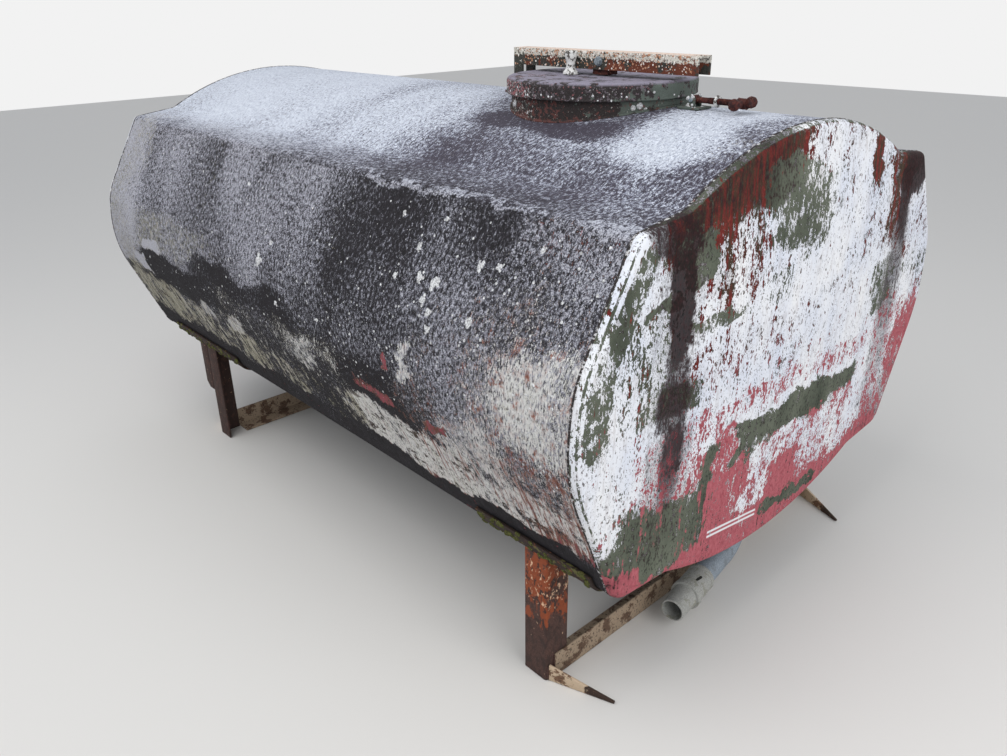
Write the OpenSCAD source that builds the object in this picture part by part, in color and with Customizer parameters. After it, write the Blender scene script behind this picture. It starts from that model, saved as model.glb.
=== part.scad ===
// Horizontal liquid tank on a welded angle stand
// Crowned and ledged steel shell with flanged heads, a clamped round manway
// and a low outlet pipe. Millimetres, Z up, the feet stand on Z = 0.

/* [Part] */

// Sub-part to build

/* [Tank] */

// Length of the tank between the flat faces of its two heads
tank_length = 2540; // [1600:10:4000]
// Height of the tank's lowest line above the ground
ground_clearance = 277; // [240:1:900]
// Half width of the tank at the outer edge of its ledges
ledge_half_width = 630; // [500:5:800]
// Half width of the crowned top at the foot of the crown
crown_half_width = 473; // [350:1:560]
// Height of the crown above the outer edge of the ledges
crown_height = 146; // [100:1:170]
// Radius of the crowned top
crown_radius = 950; // [800:10:1300]
// Half width of the tank at its widest, before the corner is rounded
belly_half_width = 808; // [740:1:900]
// Depth of the widest line below the ledge edge
belly_depth = 470; // [380:5:560]
// Half width at the bottom corner, before it is rounded
base_half_width = 648; // [580:1:720]
// Depth of the bottom corner below the ledge edge
base_depth = 862; // [760:1:960]
// Half width of the crowned bottom at the foot of its crown
keel_half_width = 460; // [380:1:540]
// Drop of the crowned bottom below the bottom corner
keel_height = 106; // [80:1:140]
// Radius of the crowned bottom
keel_radius = 1220; // [1000:10:1600]
// Radius of the notch at the foot of each crown
notch_radius = 60; // [30:1:70]
// Radius of the ledge corner
ledge_corner_radius = 28; // [24:1:45]
// Radius of the bottom corner
base_corner_radius = 60; // [40:1:80]
// Thickness of the shell plates
shell_wall = 6; // [4:0.5:10]
// Thickness of the head plates
head_wall = 6; // [4:0.5:8]
// Radius of the bend round each head
knuckle_radius = 18; // [12:1:24]
// Length of the flange that each head turns back along the shell
head_flange = 24; // [20:1:90]
// Bulge of each head in front of its flat edge
head_dish = 22; // [8:1:40]
// Width of the weld bead round each head
weld_width = 9; // [5:1:14]
// Height of the weld bead above the plates
weld_height = 2.5; // [1:0.5:4]

/* [Manway] */

// Distance of the manway's middle back from the near head
manway_setback = 665; // [450:5:1100]
// Outer diameter of the manway neck
neck_diameter = 500; // [400:5:600]
// Wall of the manway neck
neck_wall = 8; // [4:0.5:12]
// Height of the lid's top above the crown
lid_rise = 66; // [56:1:94]
// Overhang of the lid outside the neck
lid_overhang = 15; // [10:0.5:40]
// Depth of the lid's skirt
lid_skirt = 44; // [30:1:56]
// Thickness of the lid
lid_wall = 6; // [4:0.5:10]
// Radius of the lid's rounded rim
lid_rim_radius = 13; // [8:1:20]

/* [Clamp bar] */

// Width of the clamp bar, a channel with its web on top
bar_width = 56; // [44:1:80]
// Height of the clamp bar
bar_height = 47; // [36:1:70]
// Wall of the clamp bar
bar_wall = 6; // [4:0.5:8]
// Air between the lid and the clamp bar
bar_gap = 14; // [8:1:24]
// Distance of the hinge pin outside the lid's rim
hinge_clearance = 45; // [36:1:90]
// Height of the hinge pin above the crown
hinge_rise = 36; // [30:1:48]
// Diameter of the hinge pin
hinge_pin_diameter = 12; // [8:0.5:20]
// Distance of the swing bolt's pivot outside the lid's rim
bolt_clearance = 49; // [36:1:90]
// Height of the swing bolt's pivot above the crown
bolt_rise = 22; // [20:1:38]
// Diameter of the swing bolt's rod
bolt_diameter = 16; // [10:1:22]
// Distance from the pivot to the middle of the hand nut
nut_reach = 140; // [125:1:180]
// Distance between the middles of the hand nut's two lobes
nut_span = 76; // [56:1:110]
// Diameter of the hand nut's lobes
lobe_diameter = 30; // [20:1:34]
// Diameter of the swing bolt's pivot pin
pivot_pin_diameter = 10; // [6:0.5:14]

/* [Stand] */

// Distance of the near posts' outer faces back from the near head
near_post_setback = 214; // [150:1:400]
// Distance of the far posts' outer faces back from the far head
far_post_setback = 402; // [300:1:500]
// Distance of the posts' outer faces outside the tank's bottom corner
post_outset = 12; // [4:1:24]
// Leg of the posts' angle section
post_leg = 80; // [50:1:100]
// Thickness of the posts' angle section
post_wall = 8; // [5:0.5:12]
// Length of the near bearing rails
near_rail_length = 405; // [200:5:700]
// Length of the far bearing rails
far_rail_length = 540; // [200:5:700]
// Reach of the bearing rails under the tank from its bottom corner
rail_width = 84; // [60:1:110]
// Rise of the bearing rails beside the tank from its bottom corner
rail_rise = 58; // [40:1:90]
// Thickness of the bearing rails
rail_wall = 8; // [5:0.5:12]
// Leg of the cross beams' angle section
beam_leg = 75; // [45:1:120]
// Thickness of the cross beams' angle section
beam_wall = 6; // [4:0.5:10]
// Length of the foot spurs along the ground
spur_length = 185; // [80:5:220]
// Height of the foot spurs at the post
spur_height = 50; // [30:1:90]
// Thickness of the foot spurs
spur_wall = 8; // [5:0.5:12]
// Turn of the foot spurs towards the middle of the stand, in degrees
spur_turn = 20; // [0:1:40]
// Width of the cleats at the head of the far posts
cleat_width = 58; // [30:1:120]
// Height of the cleats at the head of the far posts
cleat_height = 185; // [80:1:260]

/* [Outlet] */

// Distance of the outlet's mouth in front of the near posts
mouth_reach = 112; // [100:1:150]
// Distance of the outlet's mouth from the tank's long axis
mouth_y = 267; // [150:1:420]
// Height of the outlet's axis above the ground
outlet_height = 75; // [60:1:160]
// Turn of the outlet pipe from square to the tank, in degrees
outlet_turn = 9.5; // [0:0.5:20]
// Length of the outlet from its mouth to the start of its elbow
outlet_run = 330; // [240:5:480]
// Outer diameter of the outlet pipe
pipe_diameter = 70; // [50:1:90]
// Wall of the outlet pipe
pipe_wall = 5; // [3:0.5:8]
// Radius of the outlet elbow
elbow_radius = 100; // [75:1:140]
// Outer diameter of the coupling body
coupling_diameter = 86; // [70:1:110]

/* [Hidden] */

$fn = 96;

// Fits and clearances
seat_gap = 0.3;       // air between a curved seat and the piece on it
running_gap = 0.05;   // radial air between a pin and its bore
side_gap = 1;         // air each side of a hinged eye or flange
lid_seat_gap = 1;     // air between the lid and the rim of the neck
rail_end_gap = 30;    // air between the near rails and the weld bead
block_gap = 3;        // air between the block and the web of the clamp bar

// Outline of the tank in the Y-Z plane, counter-clockwise from the crown:
// [y, z, corner radius, steps], with z measured from the ledge edge.
notch_setback = 18;   // how far inside the notch a crown's arc ends
upper_out = 0.90;     // place of the side's upper bend, out and down, as
upper_down = 0.585;   // shares of the way from the ledge to the belly
upper_reach = 0.30;   // shares of the edge between the upper bend and
belly_reach = 0.50;   // the belly that their two arcs take up
crown_angle = asin((crown_half_width - notch_setback) / crown_radius);
crown_apex = crown_height - crown_radius + crown_radius / cos(crown_angle);
notch = [crown_half_width, crown_apex - crown_half_width * tan(crown_angle)];
keel_angle = asin((keel_half_width - notch_setback) / keel_radius);
keel_apex = -base_depth - keel_height + keel_radius - keel_radius / cos(keel_angle);
foot = [keel_half_width, keel_apex + keel_half_width * tan(keel_angle)];
ledge = [ledge_half_width, 0];
belly = [belly_half_width, -belly_depth];
base = [base_half_width, -base_depth];
upper = [ledge[0] + upper_out * (belly[0] - ledge[0]), upper_down * belly[1]];
belly_edge = norm(belly - upper);
half_outline = [
    [notch[0], notch[1], notch_radius, 5],
    [ledge[0], ledge[1], ledge_corner_radius, 5],
    [upper[0], upper[1], fillet(ledge, upper, belly, upper_reach * belly_edge), 4],
    [belly[0], belly[1], fillet(upper, belly, base, belly_reach * belly_edge), 5],
    [base[0], base[1], base_corner_radius, 7],
    [foot[0], foot[1], notch_radius, 3]
];
vertices = concat(
    [[0, crown_apex, crown_radius, 16]],
    [for (i = [0 : 5]) [-half_outline[i][0], half_outline[i][1], half_outline[i][2], half_outline[i][3]]],
    [[0, keel_apex, keel_radius, 12]],
    [for (i = [5 : -1 : 0]) half_outline[i]]
);
apex_i = 0;  left_notch_i = 1;  left_ledge_i = 2;  left_upper_i = 3;  left_belly_i = 4;
left_base_i = 5;  left_foot_i = 6;  keel_i = 7;  right_foot_i = 8;  right_base_i = 9;
right_belly_i = 10;  right_upper_i = 11;  right_ledge_i = 12;  right_notch_i = 13;

function unit(v) = v / norm(v);
function turn_between(a, b) = atan2(a[0] * b[1] - a[1] * b[0], a * b);
// Radius of the arc at corner c that takes up the length t of each edge
function fillet(p, c, q, t) = t / tan(abs(turn_between(unit(c - p), unit(q - c))) / 2);
// Points of the rounded corner i, pushed inwards by d
function corner(v, i, d) =
    let (n = len(v),
         p = [v[(i + n - 1) % n][0], v[(i + n - 1) % n][1]],
         c = [v[i][0], v[i][1]],
         q = [v[(i + 1) % n][0], v[(i + 1) % n][1]],
         a = unit(c - p), b = unit(q - c),
         turn = turn_between(a, b),
         side = turn > 0 ? 1 : -1,
         r = v[i][2], steps = v[i][3],
         start = c - a * r * tan(abs(turn) / 2),
         centre = start + side * r * [-a[1], a[0]],
         from = atan2(start[1] - centre[1], start[0] - centre[0]))
    [for (k = [0 : steps]) let (t = from + turn * k / steps)
        centre + (r - side * d) * [cos(t), sin(t)]];
function rounded(v, d = 0) = [for (i = [0 : len(v) - 1]) for (p = corner(v, i, d)) p];
function last_of(v, i, d) = corner(v, i, d)[v[i][3]];
function first_of(v, i, d) = corner(v, i, d)[0];
function flip(v) = [for (i = [len(v) - 1 : -1 : 0]) v[i]];
// Height of the crowned top above the ledge edge at a distance y from its middle
function crown_at(y) = crown_height - crown_radius + sqrt(crown_radius * crown_radius - y * y);

// Shell and stand
shell_end = tank_length / 2 - head_flange;
ledge_height = ground_clearance + base_depth + keel_height;
near_post_x = tank_length / 2 - near_post_setback;
far_post_x = tank_length / 2 - far_post_setback;
stand_half_width = base_half_width + post_outset;
rail_seat_z = ledge_height - base_depth;
beam_inset = 31;      // the beams end this far inside the posts' outer faces
spur_inset = 15;      // and the spurs stand this far inside them
spur_tip = 6;         // height of a spur's outer end
spur_gap = 0.2;       // air between a turned spur and its post
cleat_cut = [24, 22]; // cut corner of a cleat, across and up

// Manway and clamp bar
manway_offset = tank_length / 2 - manway_setback;
neck_radius = neck_diameter / 2;
neck_drop = 22;       // the neck ends this far below the crown at its side
lid_radius = neck_radius + lid_overhang;
lid_top = crown_height + lid_rise;
hinge_reach = lid_radius + hinge_clearance;
hinge_height = crown_height + hinge_rise;
bolt_reach = lid_radius + bolt_clearance;
bolt_height = crown_height + bolt_rise;
bar_bottom = lid_top + bar_gap;
bar_top = bar_bottom + bar_height;
hinge_edge = 15;      // metal beyond the hinge pin at the bar's end
heel_drop = 14;       // and below it
heel_length = 36;
slot_edge = 21;       // length of the bar beyond the swing bolt
bar_start = -hinge_reach - hinge_edge;
bar_end = bolt_reach + slot_edge;
hinge_lug_radius = 16;
hinge_lug_wall = 8;
bolt_lug_wall = 6;
pin_stand_out = 4;    // a pin stands out this far each side of its lugs
pad_wall = 6;
hinge_pad = [74, 92]; // length along the tank and width of each base plate
bolt_pad = [64, 60];
eye_radius = bolt_diameter / 2 + 3;
eye_width = 20;
slot_width = bolt_diameter + 8;
washer_reach = 66;
washer_diameter = 30;
washer_wall = 5;
nut_barrel = [27, 26]; // diameter and length of the nut's barrel
nut_arm = 20;         // diameter of the bar between the nut's lobes
rod_past_nut = 26;    // length of the rod beyond the middle of the nut
block_width = bar_width - 2 * bar_wall - 2 * side_gap;
block_length = 56;
block_offset = 11;    // the block stands this far from the lid's middle
pivot_bolt_diameter = 14;
pivot_bolt_rise = 22; // height of the block's cross bolt above the bar's underside
pivot_bolt_z = bar_bottom + pivot_bolt_rise;
bolt_head = 30;
bolt_head_height = 10;
lug_offset = -72;     // the lid's lug stands this far from the lid's middle
lug_foot = [44, 12];  // diameter and height of its foot, stem and cap
lug_stem = [28, 34];
lug_cap = [36, 16];

// Outlet
mouth_x = near_post_x + mouth_reach;
pipe_radius = pipe_diameter / 2;
pipe_bore = pipe_radius - pipe_wall;
coupling_radius = coupling_diameter / 2;
mouth_length = 78;
mouth_lip = 3;        // the mouth's end is this much slimmer than the pipe
mouth_step = 4;       // and its root this much slimmer than the coupling
collar_step = 3;      // the collar stands out this far from the coupling
collar_length = 20;
body_length = 92;
pipe_start = mouth_length + collar_length + body_length;
riser_entry = 14;     // the riser ends this far inside the tank
pad_margin = 30;      // width of the pad round the riser
pad_drop = 20;        // the pad reaches this far below the bottom at the riser
outlet_centre_x = mouth_x - (outlet_run + elbow_radius) * sin(outlet_turn);
outlet_centre_y = -mouth_y + (outlet_run + elbow_radius) * cos(outlet_turn);
tank_floor_z = ledge_height - base_depth - keel_height + keel_radius
    - sqrt(keel_radius * keel_radius - outlet_centre_y * outlet_centre_y);

paint = "LightGray";
oxide = "IndianRed";
rust = "SaddleBrown";
zinc = "DarkGray";

// Extrudes a Y-Z outline along X, from x to x + length
module along_x(x, length)
    translate([x, 0, ledge_height]) rotate([90, 0, 90]) linear_extrude(length) children();

// A rolled sheet of the shell between two corners of the outline
module sheet(outer, inner)
    along_x(-shell_end, 2 * shell_end) polygon(concat(outer, flip(inner)));

function strip(list, d) = [for (i = list) for (p = corner(vertices, i, d)) p];

module crown_plate()
    color(paint) difference() {
        run = [right_ledge_i, right_notch_i, apex_i, left_notch_i, left_ledge_i];
        sheet(strip(run, 0), strip(run, shell_wall));
        translate([manway_offset, 0, ledge_height])
            cylinder(r = neck_radius + seat_gap, h = 2 * crown_height);
    }

module side_plate(before, run, after)
    color(paint) sheet(
        concat([last_of(vertices, before, 0)], strip(run, 0), [first_of(vertices, after, 0)]),
        concat([last_of(vertices, before, shell_wall)], strip(run, shell_wall), [first_of(vertices, after, shell_wall)]));
module left_side_plate() side_plate(left_ledge_i, [left_upper_i, left_belly_i], left_base_i);
module right_side_plate() side_plate(right_base_i, [right_belly_i, right_upper_i], right_ledge_i);

module riser_hole()
    translate([outlet_centre_x, outlet_centre_y, tank_floor_z - 2 * pad_drop])
        cylinder(r = pipe_radius + seat_gap, h = 4 * pad_drop);
module bottom_plate()
    color(paint) difference() {
        run = [left_base_i, left_foot_i, keel_i, right_foot_i, right_base_i];
        sheet(strip(run, 0), strip(run, shell_wall));
        riser_hole();
    }

// Rings of a head, from its rim to its middle: [x, inset, scale]
knuckle_steps = 4;
dish_steps = [0.82, 0.56, 0.28];
function head_rings(wall) = concat(
    [[shell_end, wall, 1]],
    [for (k = [0 : knuckle_steps]) let (t = 90 * k / knuckle_steps, r = knuckle_radius - wall)
        [tank_length / 2 - knuckle_radius + r * sin(t), wall + r * (1 - cos(t)), 1]],
    [for (s = dish_steps) [tank_length / 2 - wall + head_dish * (1 - s * s), knuckle_radius, s]]);
head_middle = [0, -0.42 * belly_depth];
function ring_points(ring) = [for (p = rounded(vertices, ring[1]))
    let (q = head_middle + ring[2] * (p - head_middle)) [ring[0], q[0], q[1]]];

module head() {
    outer = head_rings(0);
    inner = head_rings(head_wall);
    rings = concat(outer, flip(inner));
    n = len(rounded(vertices));
    m = len(outer);
    tip = 2 * m * n;
    middle = tank_length / 2 + head_dish;
    function at(j, i) = j * n + i % n;
    points = concat([for (r = rings) for (p = ring_points(r)) p],
        [[middle, head_middle[0], head_middle[1]],
         [middle - head_wall, head_middle[0], head_middle[1]]]);
    walls = [for (j = [0 : 2 * m - 2]) if (j != m - 1) for (i = [0 : n - 1])
        for (f = [[at(j, i), at(j + 1, i), at(j + 1, i + 1)], [at(j, i), at(j + 1, i + 1), at(j, i + 1)]]) f];
    rim = [for (i = [0 : n - 1])
        for (f = [[at(2 * m - 1, i), at(0, i), at(0, i + 1)], [at(2 * m - 1, i), at(0, i + 1), at(2 * m - 1, i + 1)]]) f];
    caps = concat(
        [for (i = [0 : n - 1]) [at(m - 1, i + 1), at(m - 1, i), tip]],
        [for (i = [0 : n - 1]) [at(m, i), at(m, i + 1), tip + 1]]);
    translate([0, 0, ledge_height]) polyhedron(points = points, faces = concat(walls, rim, caps));
}
module near_head() color(oxide) head();
module far_head() color(oxide) mirror([1, 0, 0]) head();

module head_weld()
    along_x(shell_end - weld_width / 2, weld_width) difference() {
        polygon(rounded(vertices, -weld_height));
        polygon(rounded(vertices, 0));
    }
module near_head_weld() color(paint) head_weld();
module far_head_weld() color(paint) mirror([1, 0, 0]) head_weld();

// Places a piece at the manway, with z from the ledge edge
module at_manway(x = 0, z = 0) translate([manway_offset + x, 0, ledge_height + z]) children();

neck_foot = crown_at(neck_radius) - neck_drop;
neck_rim = lid_top - lid_wall - lid_seat_gap;
module manway_neck()
    color(paint) at_manway(0, neck_foot) difference() {
        cylinder(r = neck_radius, h = neck_rim - neck_foot);
        translate([0, 0, -1]) cylinder(r = neck_radius - neck_wall, h = neck_rim - neck_foot + 2);
    }

module manway_lid() {
    rim = lid_rim_radius;
    inner_rim = lid_rim_radius - lid_wall;
    bottom = lid_top - lid_skirt;
    color(paint) at_manway() rotate_extrude() polygon(concat(
        [[0, lid_top - lid_wall], [0, lid_top]],
        [for (a = [90 : -15 : 0]) [lid_radius - rim + rim * cos(a), lid_top - rim + rim * sin(a)]],
        [[lid_radius, bottom], [lid_radius - lid_wall, bottom]],
        [for (a = [0 : 30 : 90]) [lid_radius - rim + inner_rim * cos(a), lid_top - rim + inner_rim * sin(a)]]));
}

module lid_block()
    color(rust) at_manway(block_offset) difference() {
        translate([-block_length / 2, -block_width / 2, lid_top])
            cube([block_length, block_width, bar_top - bar_wall - block_gap - lid_top]);
        translate([0, 0, pivot_bolt_z]) rotate([90, 0, 0])
            cylinder(d = pivot_bolt_diameter + 2 * running_gap, h = bar_width, center = true);
    }

module lid_pivot_bolt()
    color(zinc) at_manway(block_offset, pivot_bolt_z) rotate([90, 0, 0]) {
        cylinder(d = pivot_bolt_diameter, h = bar_width + 2 * bolt_head_height, center = true);
        for (s = [-1, 1]) translate([0, 0, s * (bar_width + bolt_head_height) / 2])
            cylinder(d = bolt_head, h = bolt_head_height, center = true, $fn = 6);
    }

// Upright lug on the lid, its foot against the edge of the clamp bar
module lid_lug()
    color(paint) at_manway(lug_offset, lid_top) translate([0, -(bar_width + lug_foot[0]) / 2, 0]) {
        cylinder(d = lug_foot[0], h = lug_foot[1]);
        translate([0, 0, lug_foot[1]]) cylinder(d = lug_stem[0], h = lug_stem[1]);
        translate([0, 0, lug_foot[1] + lug_stem[1]]) cylinder(d = lug_cap[0], h = lug_cap[1]);
    }

module clamp_bar() {
    length = bar_end - bar_start;
    inner = bar_width - 2 * bar_wall;
    heel = hinge_height - heel_drop;
    color(rust) at_manway() difference() {
        union() {
            translate([bar_start, -bar_width / 2, bar_bottom]) cube([length, bar_width, bar_height]);
            translate([bar_start, -bar_width / 2, heel]) cube([heel_length, bar_width, bar_bottom - heel]);
        }
        translate([bar_start - 1, -inner / 2, heel - 1]) cube([length + 2, inner, bar_top - bar_wall - heel + 1]);
        translate([bolt_reach, 0, bar_top - bar_wall - 1]) cylinder(d = slot_width, h = bar_wall + 2);
        translate([bolt_reach, -slot_width / 2, bar_top - bar_wall - 1])
            cube([bar_end - bolt_reach + 1, slot_width, bar_wall + 2]);
        translate([-hinge_reach, 0, hinge_height]) rotate([90, 0, 0])
            cylinder(d = hinge_pin_diameter + 2 * running_gap, h = bar_width + 2, center = true);
        translate([block_offset, 0, pivot_bolt_z]) rotate([90, 0, 0])
            cylinder(d = pivot_bolt_diameter + 2 * running_gap, h = bar_width + 2, center = true);
    }
}

// A plate on the crown, its underside rolled to the crown's radius
module crown_pad(x, size)
    at_manway() difference() {
        foot = crown_at(size[1] / 2);
        translate([x - size[0] / 2, -size[1] / 2, foot])
            cube([size[0], size[1], crown_height - foot + pad_wall]);
        translate([x - size[0], 0, crown_height - crown_radius]) rotate([0, 90, 0])
            cylinder(r = crown_radius + seat_gap, h = 2 * size[0], $fn = 360);
    }

// A pair of upright lugs with a cross bore, standing on a crown pad
module lug_pair(x, z, radius, wall, inside, bore)
    at_manway(x) for (s = [-1, 1]) difference() {
        translate([0, s * (inside + wall / 2), 0]) rotate([90, 0, 0])
            linear_extrude(wall, center = true) difference() {
                union() {
                    translate([0, z]) circle(radius);
                    translate([-radius, crown_height + pad_wall]) square([2 * radius, z - crown_height - pad_wall]);
                }
                translate([0, z]) circle(d = bore);
            }
    }

module hinge_base() color(paint) crown_pad(-hinge_reach, hinge_pad);
module hinge_lugs()
    color(paint) lug_pair(-hinge_reach, hinge_height, hinge_lug_radius, hinge_lug_wall, bar_width / 2 + side_gap,
        hinge_pin_diameter + 2 * running_gap);
module hinge_pin()
    color(zinc) at_manway(-hinge_reach, hinge_height) rotate([90, 0, 0])
        cylinder(d = hinge_pin_diameter, h = bar_width + 2 * (side_gap + hinge_lug_wall + pin_stand_out), center = true);

module bolt_base() color(paint) crown_pad(bolt_reach, bolt_pad);
module bolt_lugs()
    color(paint) lug_pair(bolt_reach, bolt_height, eye_radius, bolt_lug_wall, eye_width / 2 + side_gap,
        pivot_pin_diameter + 2 * running_gap);
module bolt_pin()
    color(zinc) at_manway(bolt_reach, bolt_height) rotate([90, 0, 0])
        cylinder(d = pivot_pin_diameter, h = eye_width + 2 * (side_gap + bolt_lug_wall + pin_stand_out), center = true);

// The swing bolt lies flat, its rod pointing away from the lid
module on_bolt(s) at_manway(bolt_reach, bolt_height) rotate([0, 90, 0]) translate([0, 0, s]) children();

module swing_bolt()
    color(rust) difference() {
        union() {
            at_manway(bolt_reach, bolt_height) rotate([90, 0, 0]) cylinder(r = eye_radius, h = eye_width, center = true);
            on_bolt(0) cylinder(d = bolt_diameter, h = nut_reach + rod_past_nut);
        }
        at_manway(bolt_reach, bolt_height) rotate([90, 0, 0])
            cylinder(d = pivot_pin_diameter + 2 * running_gap, h = eye_width + 2, center = true);
    }

module bolt_washer()
    color(zinc) on_bolt(washer_reach) difference() {
        cylinder(d = washer_diameter, h = washer_wall);
        translate([0, 0, -1]) cylinder(d = bolt_diameter + 2 * running_gap, h = washer_wall + 2);
    }

module hand_nut()
    color(rust) on_bolt(nut_reach) difference() {
        union() {
            cylinder(d = nut_barrel[0], h = nut_barrel[1], center = true);
            rotate([90, 0, 0]) cylinder(d = nut_arm, h = nut_span, center = true);
            for (s = [-1, 1]) translate([0, s * nut_span / 2, 0]) sphere(d = lobe_diameter);
        }
        cylinder(d = bolt_diameter + 2 * running_gap, h = 2 * nut_barrel[1], center = true);
    }

// Bearing rail: a rolled strip that cradles the tank's bottom corner
module rail(x, length, side)
    color(rust) along_x(x - length / 2, length) mirror([side > 0 ? 0 : 1, 0]) difference() {
        intersection() {
            polygon(rounded(vertices, -seat_gap - rail_wall));
            translate([base_half_width - rail_width, -base_depth - rail_width])
                square([2 * rail_width, rail_width + rail_rise]);
        }
        polygon(rounded(vertices, -seat_gap));
    }
near_rail_x = shell_end - weld_width / 2 - rail_end_gap - near_rail_length / 2;
far_rail_x = -far_post_x + post_leg / 2;
module near_left_rail() rail(near_rail_x, near_rail_length, -1);
module near_right_rail() rail(near_rail_x, near_rail_length, 1);
module far_left_rail() rail(far_rail_x, far_rail_length, -1);
module far_right_rail() rail(far_rail_x, far_rail_length, 1);

// Cuts the head of a piece of the stand to the underside of the rail on it
module coped()
    difference() {
        children();
        along_x(-tank_length / 2, tank_length) polygon(rounded(vertices, -2 * seat_gap - rail_wall));
    }

// Post: an angle section with its outer corner at the stand's corner
post_section = [[0, 0, 6, 4], [-post_leg, 0, 2, 2], [-post_leg, -post_wall, 5, 3],
    [-post_wall, -post_wall, 7, 4], [-post_wall, -post_leg, 5, 3], [0, -post_leg, 2, 2]];
module post()
    color(rust) coped() translate([near_post_x, stand_half_width, 0])
        linear_extrude(rail_seat_z + rail_rise) polygon(rounded(post_section));
module mirror_y(side) mirror([0, side > 0 ? 0 : 1, 0]) children();
module far_copy() mirror([1, 0, 0]) translate([far_post_x - near_post_x, 0, 0]) children();
module near_left_post() mirror_y(-1) post();
module near_right_post() mirror_y(1) post();
module far_left_post() far_copy() mirror_y(-1) post();
module far_right_post() far_copy() mirror_y(1) post();

// Cross beam: an angle on the ground, its upright leg on the posts' outer faces
module beam()
    color(rust) {
        translate([near_post_x, -stand_half_width + beam_inset, 0])
            cube([beam_wall, 2 * (stand_half_width - beam_inset), beam_leg]);
        translate([near_post_x + beam_wall - beam_leg, -stand_half_width + post_leg + seat_gap, 0])
            cube([beam_leg - beam_wall / 2, 2 * (stand_half_width - post_leg - seat_gap), beam_wall]);
    }
module near_beam() beam();
module far_beam() far_copy() beam();

// Foot spur: a low triangular plate from the post's foot along the ground
module spur()
    color(rust) translate([near_post_x + spur_gap, stand_half_width - spur_inset, 0]) rotate([0, 0, -spur_turn])
        rotate([90, 0, 0]) translate([0, 0, -spur_wall])
            linear_extrude(spur_wall)
                polygon([[0, 0], [spur_length, 0], [spur_length, spur_tip], [0, spur_height]]);
module near_left_spur() mirror_y(-1) spur();
module near_right_spur() mirror_y(1) spur();
module far_left_spur() far_copy() mirror_y(-1) spur();
module far_right_spur() far_copy() mirror_y(1) spur();

// Cleat: a flat plate with a cut corner beside the head of a far post
module cleat()
    color(rust) coped() translate([near_post_x, stand_half_width, rail_seat_z]) rotate([90, 0, 0])
        linear_extrude(post_wall)
            polygon([[0, rail_rise], [cleat_width, rail_rise], [cleat_width, cleat_cut[1] - cleat_height],
                [cleat_width - cleat_cut[0], -cleat_height], [0, -cleat_height]]);
module far_left_cleat() far_copy() mirror_y(-1) cleat();
module far_right_cleat() far_copy() mirror_y(1) cleat();

// Places a piece on the outlet's axis, s along it from the mouth
module on_outlet(s)
    translate([mouth_x, -mouth_y, outlet_height]) rotate([0, 0, outlet_turn]) rotate([-90, 0, 0])
        translate([0, 0, s]) children();
module tube(r1, r2, bore, h)
    difference() {
        cylinder(r1 = r1, r2 = r2, h = h);
        translate([0, 0, -1]) cylinder(r = bore, h = h + 2);
    }
module outlet_mouth()
    color(zinc) on_outlet(0) tube(pipe_radius - mouth_lip, coupling_radius - mouth_step, pipe_bore, mouth_length);
module outlet_collar()
    color(zinc) on_outlet(mouth_length)
        tube(coupling_radius + collar_step, coupling_radius + collar_step, pipe_bore, collar_length);
module outlet_coupling()
    color(zinc) on_outlet(mouth_length + collar_length) tube(coupling_radius, coupling_radius, pipe_bore, body_length);
module outlet_pipe()
    color(zinc) on_outlet(pipe_start) tube(pipe_radius, pipe_radius, pipe_bore, outlet_run - pipe_start);
module outlet_elbow()
    color(zinc) translate([mouth_x, -mouth_y, outlet_height]) rotate([0, 0, outlet_turn])
        translate([0, outlet_run, elbow_radius]) rotate([0, 90, 0])
            rotate_extrude(angle = 90) translate([elbow_radius, 0]) difference() {
                circle(pipe_radius);
                circle(pipe_bore);
            }
module outlet_riser()
    color(zinc) translate([outlet_centre_x, outlet_centre_y, outlet_height + elbow_radius])
        tube(pipe_radius, pipe_radius, pipe_bore, tank_floor_z + riser_entry - outlet_height - elbow_radius);
module outlet_pad()
    color(paint) difference() {
        translate([outlet_centre_x, outlet_centre_y, tank_floor_z - pad_drop])
            cylinder(r = pipe_radius + pad_margin, h = 2 * pad_drop);
        along_x(0, shell_end) polygon(rounded(vertices, -seat_gap));
        riser_hole();
    }

crown_plate();
left_side_plate();
right_side_plate();
bottom_plate();
near_head();
far_head();
near_head_weld();
far_head_weld();
manway_neck();
manway_lid();
lid_block();
lid_pivot_bolt();
lid_lug();
clamp_bar();
hinge_base();
hinge_lugs();
hinge_pin();
bolt_base();
bolt_lugs();
bolt_pin();
swing_bolt();
bolt_washer();
hand_nut();
near_left_rail();
near_right_rail();
far_left_rail();
far_right_rail();
near_left_post();
near_right_post();
far_left_post();
far_right_post();
near_left_spur();
near_right_spur();
far_left_spur();
far_right_spur();
far_left_cleat();
far_right_cleat();
near_beam();
far_beam();
outlet_pad();
outlet_riser();
outlet_elbow();
outlet_pipe();
outlet_coupling();
outlet_collar();
outlet_mouth();
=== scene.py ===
"""Dresses a packed horizontal liquid tank: plate skins, welds, fittings, growth and a studio.

Everything is in metres in the row frame: +X runs along the tank to its near head and manway,
+Y across to the side away from the outlet's mouth, +Z up, with the ground at zero.
"""
import logging
import math
from contextlib import contextmanager
from dataclasses import dataclass, field
from enum import Enum
from typing import Any, Callable, Iterator, Mapping, Optional, Sequence

import bmesh
import bpy
import numpy as np
from mathutils import Matrix, Vector, noise


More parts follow.
